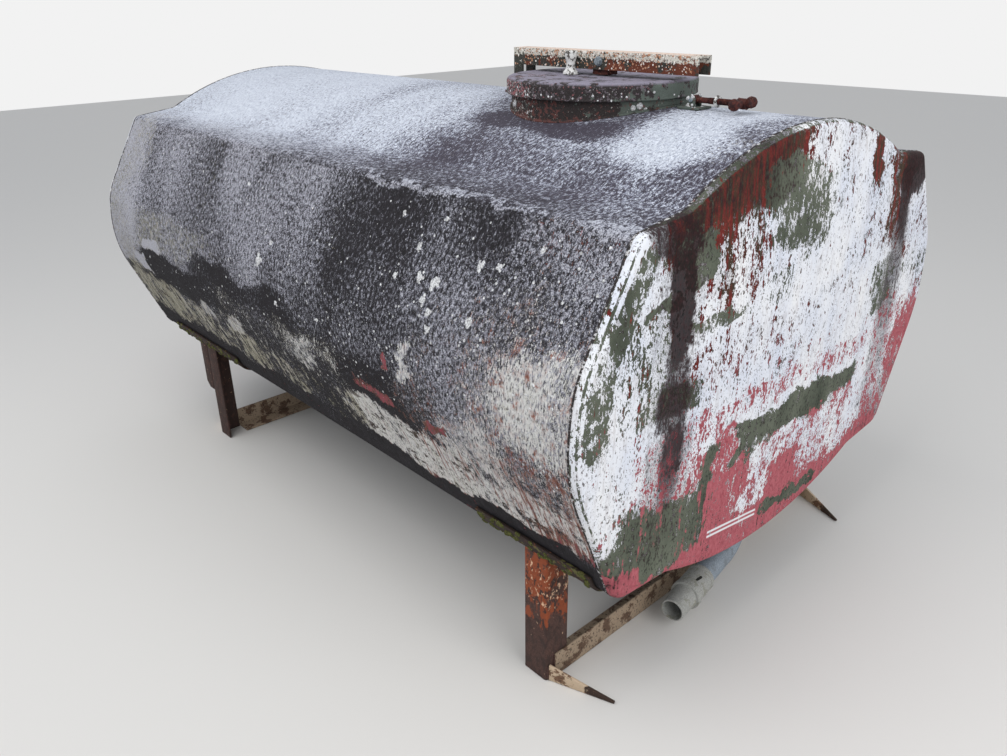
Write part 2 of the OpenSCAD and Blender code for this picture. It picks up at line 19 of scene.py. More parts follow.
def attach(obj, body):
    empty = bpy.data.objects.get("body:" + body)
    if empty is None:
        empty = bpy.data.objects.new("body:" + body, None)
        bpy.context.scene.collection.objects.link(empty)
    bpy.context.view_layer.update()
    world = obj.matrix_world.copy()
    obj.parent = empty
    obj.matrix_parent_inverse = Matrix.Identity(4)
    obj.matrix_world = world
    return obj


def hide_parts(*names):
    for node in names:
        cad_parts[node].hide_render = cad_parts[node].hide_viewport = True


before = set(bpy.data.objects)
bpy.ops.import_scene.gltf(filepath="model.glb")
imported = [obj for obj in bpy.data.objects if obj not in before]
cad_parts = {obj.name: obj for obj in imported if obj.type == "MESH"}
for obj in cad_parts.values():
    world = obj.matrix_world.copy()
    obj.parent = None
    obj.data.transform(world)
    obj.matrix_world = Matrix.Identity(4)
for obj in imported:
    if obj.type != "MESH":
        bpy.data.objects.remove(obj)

log = logging.getLogger("tank")
logging.basicConfig(level=logging.INFO, format="%(name)s: %(message)s")

MM = 0.001
LEDGE_Z = 1.245      # height of the ledge edge, from which the section's heights are measured
MANWAY_X = 0.605     # middle of the manway
CROWN = 0.146        # crown above the ledge edge
CROWN_RADIUS = 0.950
CORNERS = 14         # corners of the tank's section
CAST_GRID = 0.0035   # longest edge of a casting's mesh
OUTWARDS = 2.4       # how much further a patch's soft edge reaches outwards than inwards
SHAKE = 4            # brings a noise's usual swing about one half to about one
NOISE_SEED = 11      # without one, Blender's vector noise starts from the clock
# the property that a node's second word sets
MODES = {"Math": "operation", "VectorMath": "operation", "Mix": "data_type", "MapRange": "interpolation_type"}
Colour = tuple[float, float, float, float]
Point = tuple[float, float, float]
Tree, Socket, Object, Mesh = bpy.types.NodeTree, bpy.types.NodeSocket, bpy.types.Object, bpy.types.Mesh
Span = Optional[tuple[float, float]]
Spot = tuple[Point, Point, float]      # place, facing and radius of a crust


class Body(Enum):
    """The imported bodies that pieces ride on."""

    TANK = "tank"
    COVER = "cover"
    BOLT = "swing_bolt"


class Slot(Enum):
    """The record's material slots."""

    SHELL = "shell_paint"
    HEAD = "head_paint"
    MANWAY = "manway_paint"
    IRON = "rusted_iron"
    ZINC = "bolt_steel"
    STAND = "stand_steel"
    OUTLET = "outlet_metal"


def linear(code: str) -> Colour:
    """Turns an sRGB hex colour to linear light.

    Args:
        code: Six hex digits after a hash.

    Returns:
        Red, green, blue and an alpha of one.
    """
    parts = [int(code[i:i + 2], 16) / 255 for i in (1, 3, 5)]
    r, g, b = (c / 12.92 if c <= 0.04045 else ((c + 0.055) / 1.055) ** 2.4 for c in parts)
    return (r, g, b, 1.0)


# ---------------------------------------------------------------- nodes


def add(tree: Tree, kind: str, inputs: Any = (), **settings: Any) -> Socket:
    """Adds a node with its settings and links.

    Args:
        tree: The tree that gets the node.
        kind: The node's type name, without its first part for a shader node. A second word is the
            node's mode.
        inputs: Values or sockets for its inputs in use, by name or in their order. A colour may be
            given as hex text.
        **settings: Properties of the node, set before its inputs.

    Returns:
        The node's first output in use.
    """
    name, _, mode = kind.partition(" ")
    made = tree.nodes.new(name if "Node" in name else f"ShaderNode{name}")
    if mode:
        setattr(made, MODES[name], mode)
    for key, value in settings.items():
        setattr(made, key, value)
    free = [s for s in made.inputs if s.enabled]
    if isinstance(inputs, Mapping):
        pairs = [(next(s for s in free if s.name == key), value) for key, value in inputs.items()]
    else:
        pairs = list(zip(free, inputs))
    for socket, value in pairs:
        if isinstance(value, Socket):
            tree.links.new(value, socket)
        elif isinstance(value, str) and socket.type == "RGBA":
            socket.default_value = linear(value)
        else:
            socket.default_value = value
    return next((s for s in made.outputs if s.enabled), None)


def group(name: str, kind: str, inputs: Mapping[str, tuple[str, Any]], output: tuple[str, str]
          ) -> tuple[Tree, Mapping[str, Socket], Socket]:
    """Starts a node group.

    Args:
        name: The group's name.
        kind: ShaderNodeTree or GeometryNodeTree.
        inputs: Socket type and starting value of each named input.
        output: Name and socket type of the one output.

    Returns:
        The tree, its input sockets by name, and the socket that takes its result.
    """
    tree = bpy.data.node_groups.new(name, kind)
    for label, (socket_type, value) in inputs.items():
        made = tree.interface.new_socket(label, in_out="INPUT", socket_type=socket_type)
        if value is not None:
            made.default_value = value
    tree.interface.new_socket(output[0], in_out="OUTPUT", socket_type=output[1])
    start, end = tree.nodes.new("NodeGroupInput"), tree.nodes.new("NodeGroupOutput")
    return tree, {s.name: s for s in start.outputs if s.name}, end.inputs[0]


def patch_group() -> Tree:
    """A soft-edged rounded box in space, one inside and nought outside.

    Returns:
        The shader group, made once.
    """
    if "soft patch" in bpy.data.node_groups:
        return bpy.data.node_groups["soft patch"]
    tree, ins, out = group("soft patch", "ShaderNodeTree", {
        "Vector": ("NodeSocketVector", None), "Slope": ("NodeSocketVector", None),
        "Shift": ("NodeSocketVector", None), "Inner": ("NodeSocketFloat", 0.4),
        "Outer": ("NodeSocketFloat", 2.2)}, ("Mask", "NodeSocketFloat"))
    place = add(tree, "VectorMath MULTIPLY_ADD", (ins["Vector"], ins["Slope"], ins["Shift"]))
    square = add(tree, "VectorMath MULTIPLY", (place, place))
    fourth = add(tree, "VectorMath DOT_PRODUCT", (square, square))
    mask = add(tree, "MapRange SMOOTHSTEP", (fourth.node.outputs["Value"], ins["Outer"], ins["Inner"]))
    tree.links.new(mask, out)
    return tree


@dataclass(frozen=True)
class Patch:
    """One region of weathering, painted over those before it.

    Attributes:
        x, y, z: From and to along each axis in metres, or None for everywhere.
        values: What it sets, such as the share of top coat and the ground's kind; up to three.
        soft: Softness of the edge, from 0 to about 1.
    """

    x: Span
    y: Span
    z: Span
    values: tuple[float, ...]
    soft: float

    def paint(self, tree: Tree, where: Socket, under: Any) -> Socket:
        """Lays the patch over a field of values.

        Args:
            tree: The material's tree.
            where: The coordinates.
            under: The field, or its starting values.

        Returns:
            The field with the patch on it.
        """
        spans = (self.x, self.y, self.z)
        slope = [2 / (s[1] - s[0]) if s else 0.0 for s in spans]
        shift = [-(s[0] + s[1]) / (s[1] - s[0]) if s else 0.0 for s in spans]
        mask = add(tree, "Group", {"Vector": where, "Slope": slope, "Shift": shift,
                                   "Inner": max(0.0, 1 - self.soft), "Outer": 1 + OUTWARDS * self.soft},
                   node_tree=patch_group())
        over = (*self.values, 0.0, 0.0)[:3]
        return add(tree, "Mix RGBA", (mask, under, (*over, 1.0)))


@dataclass(frozen=True)
class Finish:
    """A finish: what the surface is made of, and how that was done and has worn."""

    name: str = "finish"

    def colour(self, tree: Tree, where: Socket) -> dict[str, Any]:
        """Builds the surface.

        Args:
            tree: The material's tree.
            where: Object coordinates in metres.

        Returns:
            Inputs of the Principled shader by name, with Height in millimetres for the bump.
        """
        raise NotImplementedError

    def material(self) -> bpy.types.Material:
        """Makes the material once.

        Returns:
            The material.
        """
        if self.name in bpy.data.materials:
            return bpy.data.materials[self.name]
        made = bpy.data.materials.new(self.name)
        made.use_nodes = True
        tree = made.node_tree
        tree.nodes.clear()
        where = add(tree, "TexCoord").node.outputs["Object"]
        inputs = self.colour(tree, where)
        height = inputs.pop("Height", None)
        if height is not None:
            inputs["Normal"] = add(tree, "Bump", {"Height": height, "Distance": MM})
        shader = add(tree, "BsdfPrincipled", inputs)
        add(tree, "OutputMaterial", {"Surface": shader})
        return made


def field_of(tree: Tree, where: Socket, start: Any, patches: Sequence[Patch]) -> tuple[Socket, ...]:
    """Paints all patches in order.

    Args:
        tree: The material's tree.
        where: The coordinates, already ragged.
        start: The values outside every patch.
        patches: The patches, lowest first.

    Returns:
        The three values as separate sockets.
    """
    under: Any = (*start, 1.0) if isinstance(start, tuple) else start
    for patch in patches:
        under = patch.paint(tree, where, under)
    return tuple(add(tree, "SeparateColor", (under,)).node.outputs)[:3]


def ragged(tree: Tree, where: Socket, size: float, reach: Point) -> Socket:
    """Shakes coordinates so that a patch gets a torn outline.

    Args:
        tree: The material's tree.
        where: The coordinates.
        size: Size of the tears in metres.
        reach: How far they move along each axis, in metres.

    Returns:
        The shaken coordinates.
    """
    shake = add(tree, "TexNoise", {"Vector": where, "Scale": 1 / size, "Detail": 6.0, "Roughness": 0.65})
    shake = add(tree, "VectorMath SUBTRACT", (shake.node.outputs["Color"], (0.5, 0.5, 0.5)))
    return add(tree, "VectorMath MULTIPLY_ADD", (shake, [SHAKE * r for r in reach], where))


def flaked(tree: Tree, grain_: Socket, cover: Any, crisp: float = 0.012,
           gain: float = 0.34) -> Socket:
    """Share of a coat that is left, as a mask with broken edges.

    Args:
        tree: The material's tree.
        grain_: A noise about one half.
        cover: The share that is left, from 0 to 1; beyond these it is none or all.
        crisp: Half width of the edge, in units of the noise.
        gain: How far the share moves the threshold.

    Returns:
        The mask, one where the coat is left.
    """
    level = add(tree, "Math MULTIPLY_ADD", (cover, gain, grain_))
    return add(tree, "MapRange SMOOTHSTEP", (level, 0.5 + gain / 2 - crisp, 0.5 + gain / 2 + crisp))


def mixed(tree: Tree, parts: Sequence[tuple[Socket, float]]) -> Socket:
    """Mixes noises by weight and brings the spread back to that of one noise.

    Args:
        tree: The material's tree.
        parts: Each noise with its weight; the weights add up to one.

    Returns:
        The mixed noise, about one half.
    """
    spread = 1 / math.sqrt(sum(w * w for _, w in parts))
    total: Any = (1 - spread) / 2
    for part, weight in parts:
        total = add(tree, "Math MULTIPLY_ADD", (part, weight * spread, total))
    return total


def grain(tree: Tree, where: Socket, size: float, stretch: Point = (1, 1, 1),
          detail: float = 4.0, rough: float = 0.6) -> Socket:
    """Noise with a real grain size.

    Args:
        tree: The material's tree.
        where: The coordinates.
        size: Size of the largest grains in metres.
        stretch: How much longer the grain is along each axis.
        detail: Finer layers.
        rough: Strength of the finer layers.

    Returns:
        The noise, about one half.
    """
    if stretch != (1, 1, 1):
        where = add(tree, "VectorMath MULTIPLY", (where, [1 / s for s in stretch]))
    return add(tree, "TexNoise", {"Vector": where, "Scale": 1 / size, "Detail": detail, "Roughness": rough})


# ---------------------------------------------------------------- finishes

SHELL_PATCHES = (
    # black crust left, pale lichen dust, and hue of what lies under:
    # 0 oxide pink, 0.3 white, 0.6 cream, 1 olive
    Patch((-1.9, 0.15), None, (0.85, 1.40), (1.10, 0.52, 0.8), 0.9),
    Patch((0.38, 1.00), None, (0.92, 1.24), (1.25, 0.24, 0.8), 0.9),
    Patch((-1.9, -0.50), None, (0.82, 0.97), (0.58, 0.54, 0.80), 1.0),
    Patch((-1.9, -1.10), None, (0.66, 1.35), (0.30, 0.72, 0.70), 1.2),
    Patch(None, None, (0.20, 0.70), (0.64, 0.14, 0.72), 0.3),
    Patch((-1.9, -0.62), None, (0.52, 0.66), (0.44, 0.34, 0.72), 0.9),
    Patch((-0.62, 0.02), None, (0.50, 0.66), (0.52, 0.22, 0.70), 0.9),
    Patch((-1.00, -0.30), None, (0.69, 0.79), (1.20, 0.02, 0.9), 1.0),
    Patch((-0.46, 0.10), None, (0.78, 0.87), (1.15, 0.08, 0.8), 0.9),
    Patch((-0.36, 0.46), None, (0.64, 0.79), (0.70, 0.14, 0.50), 1.0),
    Patch((-1.10, -0.97), None, (0.71, 0.78), (0.1, 0.9, 0.4), 0.6),
    Patch((-0.95, -0.80), None, (0.80, 0.84), (0.2, 0.9, 0.4), 0.8),
    Patch((-0.36, -0.24), None, (0.61, 0.69), (0.2, 0.5, 0.50), 0.8),
    Patch((-0.60, -0.50), None, (0.62, 0.69), (0.3, 0.4, 0.50), 0.8),
    Patch((0.08, 0.24), None, (0.67, 0.77), (0.5, 0.3, 0.40), 0.9),
    Patch((0.14, 0.38), None, (0.50, 0.62), (0.66, 0.06, 0.85), 0.9),
    Patch((0.42, 0.92), None, (0.64, 0.80), (1.05, 0.12, 0.2), 0.7),
    Patch((0.74, 1.6), None, (0.50, 1.10), (0.74, 0.42, 0.24), 1.0),
    Patch((0.92, 1.6), None, (0.55, 0.98), (0.56, 0.42, 0.26), 0.8),
    Patch((1.05, 1.6), None, (0.80, 0.99), (0.34, 0.34, 0.32), 0.9),
    Patch((0.36, 1.14), None, (0.485, 0.640), (0.26, 0.26, 0.36), 0.9),
    Patch((0.60, 0.98), None, (0.555, 0.635), (0.20, 0.40, 0.32), 0.8),
    Patch((0.82, 1.06), None, (0.58, 0.76), (0.36, 0.34, 0.30), 0.9),
    Patch((1.02, 1.6), None, (0.64, 0.78), (0.54, 0.38, 0.20), 0.9),
    Patch((1.02, 1.6), None, (0.46, 0.63), (0.26, 0.32, 0.25), 0.8),
    Patch((1.10, 1.6), None, (0.40, 0.54), (0.40, 0.14, 0.12), 0.8),
    Patch((0.98, 1.6), None, (1.14, 1.26), (0.78, 0.48, 0.12), 1.0),
    Patch((0.49, 0.60), None, (0.69, 0.745), (0.35, 0.12, -0.1), 0.9),
    Patch((0.75, 0.83), None, (0.69, 0.715), (0.1, 0.10, -0.1), 0.6),
    Patch((0.60, 0.64), None, (0.81, 0.86), (0.30, 0.2, -0.1), 0.8),
    Patch((0.70, 0.735), None, (0.80, 0.89), (0.36, 0.4, 0.36), 1.0),
    # below z 0.488 all crust and no dust: the lower belly is painted dark, partly crust and partly painted
    # shade under the tank beside the saddle strips
    Patch(None, None, (0.20, 0.488), (1.0, 0.0, 0.04), 0.15),
    # the crown and its ledges
    Patch(None, (-0.66, 0.66), (1.2435, 1.6), (1.1, 0.56, 0.5), 0.02),
    Patch((-1.6, 0.14), (-0.58, 0.66), (1.243, 1.6), (1.0, 0.76, 0.5), 0.9),
    Patch((-1.6, -0.35), (-0.50, 0.66), (1.243, 1.6), (0.9, 0.96, 0.5), 1.0),
    Patch((0.34, 1.5), (-0.64, -0.36), (1.243, 1.6), (1.2, 0.34, 0.5), 0.9),
    Patch((0.38, 0.86), (-0.31, 0.31), (1.243, 1.6), (1.2, 0.44, 0.5), 0.9),
    Patch((0.42, 0.80), (-0.300, -0.225), (1.243, 1.6), (1.3, 0.16, 0.5), 0.9),
    Patch((0.92, 1.17), (-0.34, 0.20), (1.243, 1.6), (1.0, 0.84, 0.5), 0.9),
    # a fine pale line along the left ledge's bend, laid as lichen dust: painted highlight
    Patch(None, (-0.66, -0.60), (1.238, 1.252), (1.0, 0.62, 0.5), 0.5),
)


@dataclass(frozen=True)
class WeatheredShellPaint(Finish):
    """Old brushed oil paint on rolled plate, left outdoors for decades.

    The eye sees a charcoal crust of algae and soot in fine upright streaks, chalky lavender
    lichen dust over it, and cream or olive paint with rust where the crust has let go. On the
    crown the crust, the dust and the pale spots are painted lighter and bluer, partly for their
    own tone and partly as painted sky light on the top.
    """

    name: str = "rolled_plate_oil_paint_weathered"

    def colour(self, tree: Tree, where: Socket) -> dict[str, Any]:
        """Builds the crust, the lichen dust and the paint under them.

        Args:
            tree: The material's tree.
            where: Object coordinates in metres.

        Returns:
            Inputs of the shader.
        """
        run = add(tree, "UVMap", uv_map="run")     # x along, arc length up the sheet
        up = add(tree, "SeparateXYZ", (where,)).node.outputs["Z"]
        on_top = add(tree, "MapRange", (up, 1.235, 1.26))
        crust, pale, hue = field_of(tree, ragged(tree, where, 0.20, (0.09, 0.04, 0.045)), (1.1, 0.36, 0.5),
                                    SHELL_PATCHES)
        wide = grain(tree, run, 0.25, (1, 2.2, 1), 3.0)
        streak = grain(tree, run, 0.0048, (1, 3.4, 1), 4.0, 0.68)
        blotch = grain(tree, run, 0.030, (1, 1.5, 1), 6.0, 0.72)
        speck = grain(tree, run, 0.0032, (1, 1.3, 1), 3.0, 0.7)
        dust = grain(tree, run, 0.0090, (1, 1.6, 1), 5.0, 0.74)
        fall = grain(tree, run, 0.014, (1, 11.0, 1), 4.0, 0.7)
        low = add(tree, "MapRange", (up, 0.76, 0.62))
        # paint under the crust
        grained = add(tree, "Mix FLOAT", (low, blotch, fall))
        ramp = add(tree, "ValToRGB",
                   (add(tree, "Math MULTIPLY_ADD", (add(tree, "Math SUBTRACT", (grained, 0.5)), 1.3, hue)),))
        stops = ramp.node.color_ramp.elements
        stops[0].color, stops[1].color = linear("#964c54"), linear("#5f5e48")
        for at, code in ((0.08, "#6f4234"), (0.16, "#9a6d60"), (0.23, "#d0c8c4"), (0.36, "#e4e3e0"),
                         (0.60, "#b9b3a3"), (0.82, "#8b8974")):
            stops.new(at).color = linear(code)
        ground = add(tree, "Mix RGBA", (flaked(tree, streak, 0.28, 0.05), ramp, "#5b574d"))
        # black crust
        plain = mixed(tree, ((streak, 0.40), (blotch, 0.24), (speck, 0.36)))
        torn = mixed(tree, ((blotch, 0.52), (fall, 0.26), (speck, 0.22)))
        tone = add(tree, "Mix FLOAT", (low, plain, torn))
        level = add(tree, "Math MULTIPLY_ADD", (add(tree, "Math SUBTRACT", (wide, 0.5)), 1.1, crust))
        hard = flaked(tree, tone, level, 0.03, 0.36)
        black = add(tree, "Mix RGBA", (add(tree, "MapRange", (tone, 0.3, 0.7)), "#0f0e10", "#302d32"))
        # the crown's crust is painted lighter and bluer than the side's: partly its own tone, partly painted
        # sky light
        black = add(tree, "Mix RGBA", (on_top, black, add(tree, "Mix RGBA", (streak, "#2b2731", "#59545f"))))
        scab = mixed(tree, ((grain(tree, run, 0.055, (1.6, 1, 1), 7.0, 0.76), 0.6), (blotch, 0.25),
                            (fall, 0.15)))
        scab = add(tree, "Math MULTIPLY", (flaked(tree, scab, 0.33, 0.018, 0.36), low))
        ground = add(tree, "Mix RGBA", (scab, ground, add(tree, "Mix RGBA", (fall, "#1a1310", "#54402f"))))
        skin = add(tree, "Mix RGBA", (hard, ground, black))
        # lichen dust and small thalli; on the crown both are painted lighter and bluer, partly their own tone
        # and partly painted sky light on the top
        ash = add(tree, "Math MULTIPLY_ADD", (add(tree, "Math SUBTRACT", (wide, 0.5)), 0.9, pale))
        both = mixed(tree, ((dust, 0.6), (streak, 0.4)))
        haze = add(tree, "Math MULTIPLY", (flaked(tree, both, ash, 0.10, 0.36),
                                           add(tree, "Math MULTIPLY_ADD", (low, -0.55, 0.80))))
        tint = add(tree, "MapRange", (dust, 0.36, 0.64))
        skin = add(tree, "Mix RGBA",
                   (haze, skin,
                    add(tree, "Mix RGBA", (on_top, add(tree, "Mix RGBA", (tint, "#5c5b64", "#8d8d98")),
                                           add(tree, "Mix RGBA", (tint, "#83869a", "#b4b8c8"))))))
        few = add(tree, "Math MULTIPLY_ADD", (ash, 0.85, -0.06))
        spots = flaked(tree, mixed(tree, ((speck, 0.55), (dust, 0.45))), few, 0.02, 0.36)
        # the pale spots on the crown are painted brighter and bluer: partly their own tone, partly painted
        # sky light
        crown_spots_and_sky_light = add(tree, "Mix RGBA", (flaked(tree, streak, 0.62, 0.10), "#c3c9d6", "#e8edf5"))
        skin = add(tree, "Mix RGBA", (add(tree, "Math MULTIPLY", (spots, 0.84)), skin,
                                      add(tree, "Mix RGBA", (on_top, "#c0c0c9", crown_spots_and_sky_light))))
        lift = add(tree, "Math MULTIPLY_ADD",
                   (plain, 2.6, add(tree, "Math MULTIPLY", (flaked(tree, plain, 0.55, 0.03), 0.6))))
        rough = add(tree, "MapRange", {"Value": dust, "To Min": 0.62, "To Max": 0.95})
        return {"Base Color": skin, "Roughness": rough, "Height": lift, "Specular IOR Level": 0.18}


HEAD_PATCHES = (
    # top coat left, green (1) or red (0) ground; depth below the crown's edge, y across, z up
    # bottom: red and green ground with little top coat
    Patch(None, (-0.95, 0.95), (0.20, 0.58), (0.10, -0.1), 0.25),
    Patch(None, (-0.44, 0.41), (0.588, 0.685), (0.04, 1.1), 0.5),
    Patch(None, (-0.72, -0.32), (0.39, 0.62), (0.10, 0.80), 1.0),
    Patch(None, (-0.64, -0.44), (0.40, 0.47), (0.0, 1.2), 0.7),
    Patch(None, (-0.60, -0.40), (0.27, 0.385), (0.05, 0.1), 0.5),
    Patch(None, (-0.31, -0.16), (0.36, 0.57), (0.16, 0.15), 1.1),
    Patch(None, (-0.31, -0.235), (0.60, 0.75), (0.30,), 0.9),
    Patch(None, (-0.155, -0.05), (0.42, 0.60), (0.60, 0.3), 1.0),
    Patch(None, (-0.05, 0.12), (0.52, 0.60), (0.60, 0.3), 0.8),
    Patch(None, (0.12, 0.46), (0.41, 0.60), (0.56, 0.1), 0.8),
    Patch(None, (0.40, 0.54), (0.46, 0.78), (0.80, 0.3), 0.8),
    Patch(None, (0.56, 0.95), (0.42, 0.78), (0.34, -0.1), 0.8),
    Patch(None, (0.60, 0.95), (0.58, 0.72), (0.18, -0.1), 1.0),
    Patch(None, (-0.06, 0.24), (0.345, 0.375), (0.05, 1.2), 0.6),
    Patch(None, (-0.80, -0.66), (0.54, 0.74), (0.66, 0.8), 0.8),
    # fragments above the green band
    Patch(None, (-0.55, 0.40), (0.715, 0.780), (0.60, 0.05), 0.8),
    Patch(None, (-0.42, -0.06), (0.88, 0.97), (0.66, -0.1), 1.2),
    # upper left: rust red and olive under the crown
    Patch(None, (-0.44, -0.22), (1.04, 1.28), (0.48, 0.4), 1.0),
    Patch((-0.1, 0.11), (-0.52, -0.02), None, (0.26, 0.30), 0.7),
    Patch((-0.1, 0.07), (-0.52, -0.07), None, (-0.2, 0.25), 0.5),
    Patch(None, (-0.16, 0.07), (1.12, 1.31), (0.28, 1.1), 1.0),
    Patch(None, (-0.20, -0.06), (1.25, 1.32), (0.10, 0.9), 0.9),
    Patch(None, (-0.02, 0.32), (1.29, 1.45), (0.66, -0.1), 0.7),
    Patch(None, (-0.50, -0.39), (1.11, 1.22), (0.10, 1.1), 0.7),
    Patch(None, (-0.35, -0.32), (1.02, 1.26), (0.20,), 0.9),
    Patch(None, (-0.46, -0.26), (0.995, 1.025), (0.30, 0.9), 0.8),
    Patch(None, (-0.20, -0.06), (1.01, 1.06), (0.60, 1.0), 0.9),
    # left flank
    Patch(None, (-0.84, -0.54), (0.84, 1.08), (0.60, 0.85), 1.1),
    Patch(None, (-0.62, -0.50), (1.07, 1.10), (0.20, 1.1), 0.8),
    Patch(None, (-0.62, -0.42), (0.83, 0.90), (0.48, 0.9), 0.9),
    Patch(None, (-0.60, -0.38), (0.60, 0.76), (0.50, 0.2), 1.0),
    # right side
    Patch(None, (0.315, 0.355), (1.22, 1.40), (0.05, -0.1), 0.7),
    Patch(None, (0.42, 0.50), (1.04, 1.36), (0.28, -0.1), 0.8),
    Patch(None, (0.50, 0.62), (0.50, 1.20), (0.56, 0.2), 0.8),
    Patch(None, (0.50, 0.72), (1.15, 1.28), (0.10,), 0.7),
    Patch(None, (0.41, 0.52), (0.82, 0.97), (0.34, 1.1), 0.9),
    Patch(None, (0.54, 0.76), (0.87, 0.94), (0.64, 1.0), 1.2),
    Patch(None, (0.58, 0.78), (1.02, 1.20), (0.72,), 0.9),
)
RIM_PATCHES = (
    # what the three values above become round the bend: x along the tank
    Patch((1.2, 1.2655), (-0.70, 0.70), (1.225, 1.45), (0.42, 1.0), 0.10),
    Patch((1.2, 1.2590), (-0.90, 0.90), (0.42, 1.235), (0.48, 0.9), 0.05),
    Patch((1.2622, 1.2662), (-0.90, -0.56), (0.60, 1.235), (0.30, 0.9), 0.3),
    Patch((1.2698, 1.2722), (-0.90, -0.56), (0.80, 1.225), (0.36, 0.9), 0.3),
    Patch((1.2, 1.2735), (-0.90, -0.56), (0.36, 0.47), (0.12, -0.1), 0.5),
)
STAIN_PATCHES = (
    # maroon-black run-off in the two valleys
    Patch(None, (-0.585, -0.425), (0.48, 1.36), (0.38,), 0.9),
    Patch(None, (-0.530, -0.460), (0.66, 1.36), (0.76,), 0.9),
    Patch(None, (-0.525, -0.465), (0.98, 1.36), (1.20,), 0.8),
    Patch(None, (-0.560, -0.450), (0.80, 0.90), (0.82,), 0.9),
    Patch(None, (-0.60, -0.42), (1.19, 1.36), (0.80,), 0.7),
    Patch(None, (0.47, 0.60), (0.42, 1.10), (0.42,), 1.0),
    Patch(None, (0.50, 0.58), (0.78, 1.20), (0.56,), 1.0),
    Patch(None, (0.51, 0.575), (1.04, 1.36), (0.85,), 0.9),
    Patch(None, (0.50, 0.66), (1.14, 1.30), (0.95,), 0.8),
    Patch(None, (-0.46, -0.10), (1.24, 1.42), (0.50,), 0.9),
    Patch(None, (-0.76, -0.60), (0.36, 0.47), (0.40,), 0.9),
    Patch(None, (0.30, 0.50), (1.15, 1.40), (0.22,), 0.9),
    Patch(None, (0.46, 0.80), (0.40, 0.58), (0.34,), 1.0),
)


